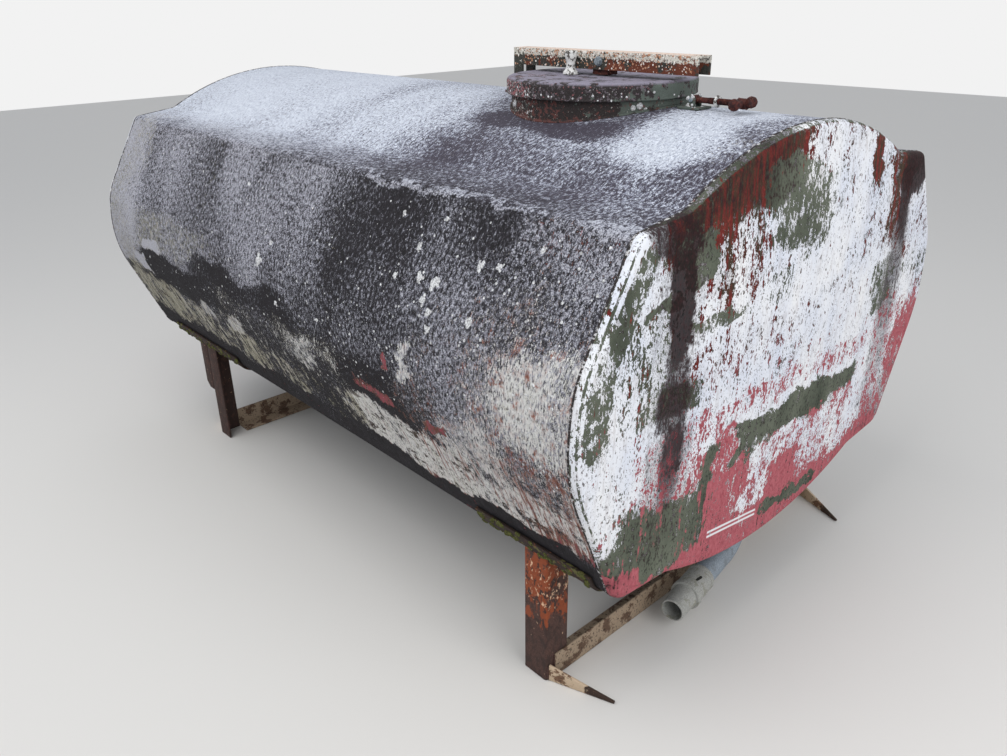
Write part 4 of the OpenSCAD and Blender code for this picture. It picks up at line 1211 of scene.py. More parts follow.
@dataclass
class Tank:
    """Shell plates, heads and head seams."""

    section: Section = field(default_factory=Section)
    half_length: float = 1.270
    flange: float = 0.024
    wall: float = 0.006
    knuckle: float = 0.018
    dish: float = 0.022
    neck_radius: float = 0.250
    seam_width: float = 0.009
    seam_depth: float = 0.0030
    dents: tuple[float, float] = (0.0022, 0.0006)    # greatest depth of the plates' slow and quick dents
    dent_fade: float = 0.06                          # they fade out over this length before each head
    valleys: tuple[float, float] = (-0.487, 0.512)   # y of the heads' two upright creases
    valley_half: float = 0.042
    valley_depth: tuple[float, float] = (0.0050, 0.0060)    # at mid height, and added to it at both ends
    valley_foot: float = 0.878                       # from the ledge edge down to the valleys' lower end
    valley_length: float = 0.90
    head_dents: tuple[float, float] = (0.0035, 0.0010)      # greatest depth of their slow and quick dents
    sheet_shift: float = 3.7                         # sets each sheet on its own part of the paint's noise

    @property
    def shell_end(self) -> float:
        """Where the shell meets each head."""
        return self.half_length - self.flange

    def dent(self, x: float, y: float, z: float) -> float:
        """Depth of the plate's slow unevenness, always inwards.

        Args:
            x: Along the tank.
            y: Across.
            z: Up.

        Returns:
            The depth in metres.
        """
        slow = noise.noise(Vector((x * 1.7, y * 2.1, z * 2.1))) * 0.5 + 0.5
        quick = noise.noise(Vector((x * 6.0 + 9, y * 6.0, z * 6.0))) * 0.5 + 0.5
        fade = min(1.0, max(0.0, (self.shell_end - abs(x)) / self.dent_fade))
        return fade * (self.dents[0] * slow + self.dents[1] * quick)

    def plate(self, node: str, first: int, last: int, closed_ends: bool, step: float) -> Object:
        """Rolls one sheet of the shell.

        Args:
            node: The CAD node that it replaces.
            first: Its first corner in the section.
            last: Its last corner.
            closed_ends: Whether it reaches its neighbours' tangent points.
            step: Grid size in metres.

        Returns:
            The object.
        """
        outer, inner = divided(self.section.run(first, last, 0.0, 2, closed_ends),
                               self.section.run(first, last, self.wall, 2, closed_ends), step)
        along = np.linspace(-self.shell_end, self.shell_end, int(2 * self.shell_end / step) + 1)
        reach = np.concatenate([[0], np.cumsum(np.linalg.norm(np.diff(outer, axis=0), axis=1))])
        normal = (outer - inner) / self.wall
        grids = []
        for line in (outer, inner):
            grid = np.zeros((len(along), len(line), 3))
            grid[..., 0], grid[..., 1], grid[..., 2] = along[:, None], line[:, 0], line[:, 1] + LEDGE_Z
            for i, x in enumerate(along):
                depth = np.array([self.dent(x, p[0], p[1]) for p in outer])
                grid[i, :, 1:] -= normal * depth[:, None]
            grids.append(grid)
        run = np.zeros((len(along), len(outer), 2))
        run[..., 0], run[..., 1] = along[:, None], reach + first * self.sheet_shift
        made = piece(f"{node}_dressed", slab(node, grids[0], grids[1], run), SHELL, INSIDE)
        if node == "crown_plate":
            self.cut_manway(made)
        return install(shade(made, 40), Body.TANK, Slot.SHELL, node)

    def cut_manway(self, made: Object) -> None:
        """Cuts the manway through the crown.

        Args:
            made: The crown's plate.
        """
        punch = bpy.data.meshes.new("punch")
        with edited(punch) as work:
            bmesh.ops.create_cone(work, cap_ends=True, segments=128, radius1=self.neck_radius,
                                  radius2=self.neck_radius, depth=0.6,
                                  matrix=Matrix.Translation((MANWAY_X, 0, LEDGE_Z + CROWN)))
        tool = linked("punch", punch)
        cut = made.modifiers.new("cut", "BOOLEAN")
        cut.object, cut.operation, cut.solver = tool, "DIFFERENCE", "EXACT"
        settle(made)
        bpy.data.objects.remove(tool)

    def relief(self, y: float, z: float, share: float) -> float:
        """How far a head's face lies behind its plain dish: two valleys and slow dents.

        Args:
            y: Across the head.
            z: Height from the ledge edge.
            share: Place from the middle (0) to the rim (1).

        Returns:
            The depth in metres.
        """
        fade = min(1.0, (1 - share) / 0.10)
        height = (z + self.valley_foot) / self.valley_length
        depth = self.valley_depth[0] + self.valley_depth[1] * (2 * height - 1) ** 2
        valley = sum(math.exp(-((y - middle) / self.valley_half) ** 2) for middle in self.valleys)
        slow = noise.noise(Vector((y * 2.6 + 3, z * 2.6, 1.0))) * 0.5 + 0.5
        quick = noise.noise(Vector((y * 9, z * 9, 4.0))) * 0.5 + 0.5
        return fade * (depth * valley + self.head_dents[0] * slow + self.head_dents[1] * quick)

    def rings(self, wall: float) -> list[tuple[float, float, float]]:
        """Rings of a head from its rim to its middle.

        Args:
            wall: Nought for the outer face, the wall for the inner face.

        Returns:
            x, inset and scale of each ring.
        """
        reach = self.knuckle - wall
        bend = [(self.half_length - self.knuckle + reach * math.sin(t), wall + reach * (1 - math.cos(t)), 1.0)
                for t in np.linspace(0, math.pi / 2, 9)]
        face = [(self.half_length - wall + self.dish * (1 - s * s), self.knuckle, s)
                for s in np.linspace(1, 0, 56)[1:]]
        return [(self.shell_end, wall, 1.0), *bend, *face]

    def head(self, name: str, sign: int) -> Object:
        """Presses one head.

        Args:
            name: The node that it replaces.
            sign: One for the near head, minus one for the far head.

        Returns:
            The object.
        """
        middle = np.array([0.0, -0.42 * self.section.belly_depth])
        grids = []
        for wall in (0.0, self.wall):
            rows = []
            for x, inset, scale in self.rings(wall):
                line = middle + scale * (np.array(self.section.outline(inset, 2)) - middle)
                back = [self.relief(y, z, scale) if scale < 1 else 0.0 for y, z in line]
                rows.append([(sign * (x - d), y, z + LEDGE_Z) for (y, z), d in zip(line, back)])
            grids.append(np.array(rows))
        made = piece(f"{name}_dressed", slab(name, grids[0], grids[1], around=True), HEAD, INSIDE)
        return install(shade(made, 45), Body.TANK, Slot.HEAD, name)

    def seams(self) -> None:
        """Lays the weld bead round each head along the section."""
        line = self.section.outline(self.seam_depth, 4)
        for name, x in (("near_head_weld", self.shell_end), ("far_head_weld", -self.shell_end)):
            path = [(x, y, z + LEDGE_Z) for y, z in line]
            made = BEAD.lay(f"{name}_dressed", path, True, self.seam_width / 2, SEAM)
            install(shade(made, 60), Body.TANK, Slot.SHELL, name)

    def build(self) -> None:
        """Builds shell, heads and seams."""
        self.plate("crown_plate", 12, 16, False, 0.012)
        self.plate("left_side_plate", 3, 4, True, 0.012)
        self.plate("right_side_plate", 10, 11, True, 0.012)
        self.plate("bottom_plate", 5, 9, False, 0.020)
        self.head("near_head", 1)
        self.head("far_head", -1)
        self.seams()


# ---------------------------------------------------------------- geometry nodes


@dataclass(frozen=True)
class Bead:
    """A hand-laid weld bead along a path, made by Geometry Nodes."""

    ripple: float = 0.0035

    def tree(self) -> Tree:
        """The bead's node tree: a rippled, uneven round swept along the path.

        Returns:
            The geometry group, made once.
        """
        if "weld bead" in bpy.data.node_groups:
            return bpy.data.node_groups["weld bead"]
        tree, ins, out = group("weld bead", "GeometryNodeTree", {
            "Path": ("NodeSocketGeometry", None), "Step": ("NodeSocketFloat", 0.0016),
            "Half Width": ("NodeSocketFloat", 0.005), "Ripple": ("NodeSocketFloat", self.ripple),
            "Unevenness": ("NodeSocketFloat", 0.25),
            "Material": ("NodeSocketMaterial", None)}, ("Bead", "NodeSocketGeometry"))
        path = add(tree, "GeometryNodeMeshToCurve", {"Mesh": ins["Path"]})
        path = add(tree, "GeometryNodeResampleCurve", {"Curve": path, "Length": ins["Step"]}, mode="LENGTH")
        along = add(tree, "GeometryNodeSplineParameter").node.outputs["Length"]
        wave = add(tree, "Math DIVIDE", (along, ins["Ripple"]))
        wave = add(tree, "Math MULTIPLY", (wave, 6.2832))    # one full turn of the sine for each ripple
        wave = add(tree, "Math SINE", (wave,))
        lumps = add(tree, "TexNoise", {"W": along, "Scale": 60.0, "Detail": 3.0}, noise_dimensions="1D")
        lumps = add(tree, "Math SUBTRACT", (lumps, 0.5))
        size = add(tree, "Math MULTIPLY_ADD", (wave, 0.10, 1.0))
        size = add(tree, "Math MULTIPLY_ADD", (lumps, ins["Unevenness"], size))
        size = add(tree, "Math MULTIPLY", (size, ins["Half Width"]))
        ring = add(tree, "GeometryNodeCurvePrimitiveCircle", {"Resolution": 8, "Radius": 1.0}, mode="RADIUS")
        tube = add(tree, "GeometryNodeCurveToMesh", {"Curve": path, "Profile Curve": ring, "Scale": size,
                                                     "Fill Caps": True})
        done = add(tree, "GeometryNodeRealizeInstances", {"Geometry": tube})
        done = add(tree, "GeometryNodeSetMaterial", {"Geometry": done, "Material": ins["Material"]})
        tree.links.new(done, out)
        return tree

    def lay(self, name: str, path: Sequence[Point], ring: bool, half_width: float, finish: Finish
            ) -> Object:
        """Lays a bead.

        Args:
            name: The piece's name.
            path: Points along the seam.
            ring: Whether the path closes on itself.
            half_width: Half the bead's width.
            finish: Its material.

        Returns:
            The object.
        """
        count = len(path)
        edges = [(i, i + 1) for i in range(count - 1)] + ([(count - 1, 0)] if ring else [])
        mesh = bpy.data.meshes.new(name)
        mesh.from_pydata([tuple(p) for p in path], edges, [])
        made = piece(name, mesh, finish)
        run_nodes(made, self.tree(), {"Half Width": half_width, "Ripple": self.ripple,
                                      "Material": finish.material()})
        return made


def run_nodes(made: Object, tree: Tree, values: Mapping[str, Any]) -> Object:
    """Runs a geometry tree on an object and keeps the plain mesh.

    Args:
        made: The object.
        tree: The tree.
        values: Its inputs by name, set by each socket's identifier.

    Returns:
        The same object.
    """
    modifier = made.modifiers.new("nodes", "NODES")
    modifier.node_group = tree
    for item in tree.interface.items_tree:
        if item.item_type == "SOCKET" and item.in_out == "INPUT" and item.name in values:
            modifier[item.identifier] = values[item.name]
    return settle(made)


BEAD = Bead()


@dataclass(frozen=True)
class Growth:
    """Crusts and cushions that grow on a surface, scattered by Geometry Nodes."""

    def tree(self) -> Tree:
        """Instances a lumpy flat disc on each point, turned to the surface.

        Returns:
            The geometry group, made once.
        """
        if "growth" in bpy.data.node_groups:
            return bpy.data.node_groups["growth"]
        tree, ins, out = group("growth", "GeometryNodeTree", {
            "Points": ("NodeSocketGeometry", None), "Thickness": ("NodeSocketFloat", 0.12),
            "Lumps": ("NodeSocketFloat", 0.5),
            "Material": ("NodeSocketMaterial", None)}, ("Crusts", "NodeSocketGeometry"))
        size = add(tree, "GeometryNodeInputNamedAttribute", {"Name": "size"}, data_type="FLOAT")
        facing = add(tree, "GeometryNodeInputNamedAttribute", {"Name": "facing"}, data_type="FLOAT_VECTOR")
        turn = add(tree, "FunctionNodeAlignRotationToVector", {"Vector": facing}, axis="Z")
        disc = add(tree, "GeometryNodeMeshIcoSphere", {"Radius": 1.0, "Subdivisions": 2})
        scale = add(tree, "CombineXYZ", {"X": size, "Y": size,
                                         "Z": add(tree, "Math MULTIPLY", (size, ins["Thickness"]))})
        crusts = add(tree, "GeometryNodeInstanceOnPoints",
                     {"Points": ins["Points"], "Instance": disc, "Rotation": turn, "Scale": scale})
        crusts = add(tree, "GeometryNodeRealizeInstances", {"Geometry": crusts})
        where = add(tree, "GeometryNodeInputPosition")
        lump = add(tree, "TexNoise", {"Vector": where, "Scale": 90.0, "Detail": 3.0,
                                      "Roughness": 0.65}).node.outputs["Color"]
        lump = add(tree, "VectorMath SUBTRACT", (lump, (0.5, 0.5, 0.5)))
        lump = add(tree, "VectorMath SCALE", (lump, add(tree, "Math MULTIPLY", (ins["Lumps"], 0.022))))
        crusts = add(tree, "GeometryNodeSetPosition", {"Geometry": crusts, "Offset": lump})
        crusts = add(tree, "GeometryNodeSetShadeSmooth", {"Geometry": crusts})
        crusts = add(tree, "GeometryNodeSetMaterial", {"Geometry": crusts, "Material": ins["Material"]})
        tree.links.new(crusts, out)
        return tree

    def grow(self, name: str, spots: Sequence[Spot], thickness: float, lumps: float,
             finish: Finish, body: Body, slot: Slot) -> Object:
        """Grows a crust at each spot.

        Args:
            name: The piece's name.
            spots: Place, facing and radius of each.
            thickness: Thickness as a share of the radius.
            lumps: Unevenness, from 0 to 1.
            finish: Its material.
            body: What it rides on.
            slot: The record's slot.

        Returns:
            The object.
        """
        mesh = bpy.data.meshes.new(name)
        mesh.from_pydata([s[0] for s in spots], [], [])
        mesh.attributes.new("size", "FLOAT", "POINT").data.foreach_set("value", [s[2] for s in spots])
        mesh.attributes.new("facing", "FLOAT_VECTOR", "POINT").data.foreach_set(
            "vector", [c for s in spots for c in s[1]])
        made = piece(name, mesh, finish)
        run_nodes(made, self.tree(), {"Thickness": thickness, "Lumps": lumps, "Material": finish.material()})
        return install(made, body, slot)


def cast(node: str, edge: float, depth: float, finish: Finish) -> Object:
    """A copy of a CAD node as a rough casting: corners eased, skin uneven.

    Args:
        node: The CAD node.
        edge: Width of the easing in metres.
        depth: Depth of the unevenness in metres, always inwards.
        finish: Its material.

    Returns:
        The object.
    """
    made = softened(node, edge, finish)
    with edited(made.data) as work:
        bmesh.ops.triangulate(work, faces=work.faces)
        for _ in range(4):
            long = [e for e in work.edges if e.calc_length() > CAST_GRID]
            if long:
                bmesh.ops.subdivide_edges(work, edges=long, cuts=1, use_grid_fill=False)
                bmesh.ops.triangulate(work, faces=work.faces)
        work.normal_update()
        for vertex in work.verts:
            uneven = noise.noise(vertex.co * 130) * 0.6 + noise.noise(vertex.co * 380) * 0.3 + 0.4
            vertex.co -= vertex.normal * depth * max(0.0, uneven)
    return shade(made, 60)


@dataclass
class Manway:
    """Neck, lid and the weld at the neck's foot."""

    section: Section
    neck: float = 0.250
    neck_wall: float = 0.008
    foot: float = 1.3355
    neck_rim: float = 1.450
    lid: float = 0.265
    lid_top: float = 1.457
    skirt: float = 1.413
    rim: float = 0.013
    inset: float = 0.0004      # keeps the dressed lid within the CAD's

    def crown_ring(self, radius: float, steps: int = 240) -> list[Point]:
        """Points of a circle about the manway, laid on the crown.

        Args:
            radius: Its radius.
            steps: Number of points.

        Returns:
            The points.
        """
        turns = (2 * math.pi * i / steps for i in range(steps))
        return [(MANWAY_X + radius * math.cos(t), radius * math.sin(t),
                 self.section.crown_at(radius * math.sin(t))) for t in turns]

    def build(self) -> None:
        """Builds the three pieces."""
        place = Matrix.Translation((MANWAY_X, 0, 0))
        r, w = self.neck, self.neck_wall
        profile = rounded_profile([(r - w, self.foot, 0), (r, self.foot, 0), (r, 1.43, 0),
                                   (r, self.neck_rim, 0.002), (r - w, self.neck_rim, 0.002), (r - w, 1.40, 0),
                                   (r - w, self.foot, 0)])
        made = piece("manway_neck_dressed", lathed("neck", profile, place, 160, 0.0006), NECK)
        install(shade(made), Body.TANK, Slot.MANWAY, "manway_neck")
        weld = BEAD.lay("neck_weld", self.crown_ring(r + 0.001), True, 0.0048, NECK)
        install(shade(weld, 60), Body.TANK, Slot.MANWAY)
        top, e = self.lid_top - self.inset, self.lid - self.inset
        shape = [(0.0, top - 0.0022), (0.10, top - 0.0020), (0.20, top - 0.0012), (0.236, top - 0.0002)]
        shape += [(e - self.rim + self.rim * math.sin(t), top - self.rim + self.rim * math.cos(t))
                  for t in np.linspace(0.1, math.pi / 2, 9)]
        low = self.skirt
        shape += [(e - 0.0004, 1.428), (e - 0.0006, low + 0.006), (e, low + 0.004),
                  (e + 0.0002, low + 0.0015), (e - 0.001, low), (e - 0.005, low), (e - 0.006, low + 0.002),
                  (e - 0.006, top - 0.012), (e - 0.012, top - 0.006), (0.10, top - 0.0075),
                  (0.0, top - 0.0077)]
        lid = piece("manway_lid_dressed", lathed("lid", shape, place, 192, 0.0003), LID)
        install(shade(lid), Body.COVER, Slot.MANWAY, "manway_lid")


@dataclass
class Clamp:
    """Bar, block, bolts and lugs that hold the lid."""

    cross_bolt: Point = (0.616, 0.0, 1.493)
    bar_half: float = 0.028
    lug: Point = (0.533, -0.050, 1.457)
    swing_bolt: Point = (0.919, 0.0, 1.413)
    eye_end: float = 0.945         # x where the forged eye becomes the threaded rod
    washer_at: float = 0.066       # along the swing bolt
    thread: tuple[float, float, float] = (0.0068, 0.0079, 0.002)    # inner and outer radius, and pitch

    def bolt_head(self, side: int) -> Mesh:
        """One end of the cross bolt: a hexagon with chamfered corners on a round washer.

        Args:
            side: Minus one for the side towards -Y.

        Returns:
            The mesh.
        """
        x, _, z = self.cross_bolt
        turn = Matrix.Rotation(-side * math.pi / 2, 4, "X")
        place = Matrix.Translation((x, side * self.bar_half, z)) @ turn
        washer = rounded_profile([(0, 0, 0), (0.0128, 0, 0), (0.0128, 0.0022, 0.0008), (0, 0.0022, 0)])
        mesh = lathed("washer", washer, place, 40)
        with edited(mesh) as work:
            for height, r in ((0.0022, 0.0108), (0.0085, 0.0108), (0.0098, 0.0095)):
                for i in range(6):
                    t = math.radians(60 * i + 13)
                    work.verts.new(place @ Vector((r * math.cos(t), r * math.sin(t), height)))
            work.verts.ensure_lookup_table()
            v = work.verts[-18:]
            for k in (0, 6):
                for i in range(6):
                    j = (i + 1) % 6
                    work.faces.new((v[k + i], v[k + j], v[k + 6 + j], v[k + 6 + i]))
            work.faces.new(v[12:])
            work.faces.new(v[:6][::-1])
            bmesh.ops.recalc_face_normals(work, faces=work.faces)
        return mesh

    def eye(self) -> Object:
        """The swing bolt's forged eye, cut from its CAD node.

        Returns:
            The object.
        """
        made = softened("swing_bolt", 0.0012, CAST, "swing_bolt_eye")
        with edited(made.data) as work:
            far = [v for v in work.verts if v.co.x > self.eye_end]
            bmesh.ops.delete(work, geom=far, context="VERTS")
        return made

    def cover(self) -> None:
        """Builds what turns with the lid: bar, block, cross bolt and lug."""
        bar = softened("clamp_bar", 0.0022, BAR)
        install(bar, Body.COVER, Slot.IRON, "clamp_bar")
        install(cast("lid_block", 0.0030, 0.0014, CAST), Body.COVER, Slot.IRON, "lid_block")
        heads = [piece(f"cross_bolt_{'left' if s < 0 else 'right'}", self.bolt_head(s), ZINC)
                 for s in (-1, 1)]
        across = Matrix.Translation(self.cross_bolt) @ Matrix.Rotation(math.pi / 2, 4, "X")
        shank = lathed("shank", [(0, -0.0275), (0.0075, -0.0275), (0.0075, 0.0275), (0, 0.0275)], across, 32)
        heads.append(piece("cross_bolt_shank", shank, ZINC))
        install(shade(heads[0], 30), Body.COVER, Slot.ZINC, "lid_pivot_bolt")
        for made in heads[1:]:
            install(shade(made, 30), Body.COVER, Slot.ZINC)
        stud = rounded_profile([(0, 0, 0), (0.0212, 0, 0), (0.0205, 0.006, 0.003), (0.0130, 0.013, 0.006),
                                (0.0122, 0.032, 0.003), (0.0150, 0.040, 0.003), (0.0165, 0.046, 0.003),
                                (0.0165, 0.058, 0.004), (0.013, 0.0612, 0.003), (0, 0.0615, 0)])
        lug = piece("lid_lug_dressed", lathed("stud", stud, Matrix.Translation(self.lug), 48, 0.0011), LUG)
        install(shade(lug, 50), Body.COVER, Slot.MANWAY, "lid_lug")

    def fixed(self) -> None:
        """Builds the lugs, bases and pins that stay on the tank."""
        for node in ("bolt_lugs", "hinge_lugs"):
            install(cast(node, 0.0012, 0.0006, NECK), Body.TANK, Slot.MANWAY, node)
        for node in ("bolt_base", "hinge_base"):
            install(softened(node, 0.0014, NECK), Body.TANK, Slot.MANWAY, node)
        for node in ("bolt_pin", "hinge_pin"):
            install(softened(node, 0.0008, ZINC), Body.TANK, Slot.ZINC, node)

    def swing(self) -> None:
        """Builds the swing bolt with its hand nut and washer."""
        install(cast("hand_nut", 0.0010, 0.0018, CAST), Body.BOLT, Slot.IRON, "hand_nut")
        turned = Matrix.Translation(self.swing_bolt) @ Matrix.Rotation(math.pi / 2, 4, "Y")
        inner, outer, pitch = self.thread
        thread: list[tuple[float, float]] = [(0, 0.008), (0.0072, 0.008), (0.0072, 0.042)]
        for i in range(60):
            at = 0.043 + i * pitch
            thread += [(inner, at), (outer, at + pitch / 2)]
        thread += [(inner, 0.1635), (0.0055, 0.1658), (0, 0.1658)]
        rod = piece("swing_bolt_rod", lathed("rod", thread, turned, 24), CAST)
        install(shade(rod, 30), Body.BOLT, Slot.IRON, "swing_bolt")
        install(shade(self.eye(), 40), Body.BOLT, Slot.IRON)
        ring = rounded_profile([(0.0083, 0, 0), (0.0148, 0, 0), (0.0148, 0.0045, 0.001), (0.0083, 0.0045, 0),
                                (0.0083, 0, 0)])
        place = turned @ Matrix.Translation((0, 0, self.washer_at))
        washer = piece("bolt_washer_dressed", lathed("washer", ring, place, 40), LUG)
        install(shade(washer, 30), Body.BOLT, Slot.ZINC, "bolt_washer")

    def build(self) -> None:
        """Builds the clamp's pieces."""
        self.cover()
        self.fixed()
        self.swing()


@dataclass
class Stand:
    """Posts, beams, saddle strips, spurs and cleats, with their welds."""

    post_x: tuple[float, float] = (1.056, -0.868)
    half_width: float = 0.660
    beam_inset: float = 0.0305
    spur_y: float = 0.6535

    def weld(self, name: str, points: Sequence[Point], width: float = 0.0035) -> None:
        """Lays a bead that stays with the tank.

        Args:
            name: The bead's name.
            points: Its path.
            width: Half its width.
        """
        made = BEAD.lay(name, points, False, width, ANGLE)
        install(shade(made, 60), Body.TANK, Slot.STAND)

    def build(self) -> None:
        """Builds the stand."""
        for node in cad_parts:
            finish = {"post": ANGLE, "beam": GROUND, "rail": SADDLE, "spur": SPUR,
                      "cleat": ANGLE}.get(node.split("_")[-1])
            if finish:
                install(softened(node, 0.0016, finish), Body.TANK, Slot.STAND, node)
        for end, x, out in (("near", self.post_x[0], 1), ("far", self.post_x[1], -1)):
            for side, s in (("left", -1), ("right", 1)):
                y = s * (self.half_width - self.beam_inset)
                beam = [(x + out * 0.0005, y, z) for z in np.linspace(0.004, 0.072, 12)]
                spur = [(x + out * 0.001, s * self.spur_y, z) for z in np.linspace(0.004, 0.046, 8)]
                self.weld(f"{end}_{side}_beam_weld", beam)
                self.weld(f"{end}_{side}_spur_weld", spur, 0.003)


@dataclass
class Outlet:
    """The open pipe end with its collar and coupling."""

    mouth: Point = (1.168, -0.267, 0.075)
    turn: float = 9.5
    bore: float = 0.030
    coupling: float = 0.043

    def part(self, node: str, start: float, corners: Sequence[tuple[float, float, float]],
             finish: Finish) -> None:
        """Turns one piece on the outlet's axis.

        Args:
            node: The CAD node.
            start: Distance from the mouth.
            corners: Radius, distance and rounding along its outside.
            finish: Its material.
        """
        place = (Matrix.Translation(self.mouth) @ Matrix.Rotation(math.radians(self.turn), 4, "Z")
                 @ Matrix.Rotation(-math.pi / 2, 4, "X") @ Matrix.Translation((0, 0, start)))
        length = corners[-1][1]
        profile = [(self.bore, 0.0), *rounded_profile(corners), (self.bore, length), (self.bore, 0.0)]
        made = piece(f"{node}_dressed", lathed(node, profile, place, 72, 0.0003), finish)
        install(shade(made, 32), Body.TANK, Slot.OUTLET, node)

    def build(self) -> None:
        """Builds the outlet's pieces."""
        c = self.coupling
        self.part("outlet_mouth", 0.0, [(0.0325, 0, 0), (0.0343, 0.0015, 0.001), (0.0343, 0.006, 0.002),
                                        (0.0335, 0.012, 0.004), (0.0375, 0.066, 0.01), (0.0385, 0.078, 0)],
                  CAST_ALLOY)
        self.part("outlet_collar", 0.078, [(0.0385, 0, 0), (0.0452, 0.0015, 0.003), (0.0452, 0.0085, 0.003),
                                           (0.0436, 0.0100, 0.001), (0.0452, 0.0115, 0.001),
                                           (0.0452, 0.0185, 0.003), (c - 0.001, 0.020, 0)], CAST_ALLOY)
        self.part("outlet_coupling", 0.098, [(c - 0.001, 0, 0), (c - 0.0006, 0.004, 0.001),
                                             (c - 0.0008, 0.070, 0.002), (0.0398, 0.0715, 0.001),
                                             (0.0398, 0.0745, 0.001), (c - 0.0004, 0.0765, 0.001),
                                             (c - 0.0004, 0.089, 0.003), (0.0375, 0.092, 0)], CAST_ALLOY)
        for node in ("outlet_pipe", "outlet_riser"):
            install(softened(node, 0.0006, ALLOY_PIPE), Body.TANK, Slot.OUTLET, node)
        for node, finish in (("outlet_elbow", ALLOY_PIPE), ("outlet_pad", NECK)):
            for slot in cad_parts[node].material_slots:
                slot.material = finish.material()


def scattered(rng: np.random.Generator, node: str, count: int, sizes: tuple[float, float],
              keep: Callable[[Vector, Vector], bool]) -> list[Spot]:
    """Random places on some of a CAD node's faces.

    Args:
        rng: Seeded source of chance.
        node: The node.
        count: Number of places.
        sizes: Smallest and largest radius in metres.
        keep: Tells from a face's normal and middle whether it takes part.

    Returns:
        Place, facing and radius of each.
    """
    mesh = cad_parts[node].data
    mesh.calc_loop_triangles()
    faces = [([mesh.vertices[i].co for i in t.vertices], t.normal.copy(), t.area) for t in mesh.loop_triangles
             if keep(t.normal, Vector(t.center))]
    areas = np.array([f[2] for f in faces])
    found = []
    for pick in rng.choice(len(faces), count, p=areas / areas.sum()):
        (a, b, c), normal, _ = faces[pick]
        u, v = sorted(rng.uniform(size=2))
        found.append((tuple(a * u + b * (v - u) + c * (1 - v)), tuple(normal), rng.uniform(*sizes)))
    return found


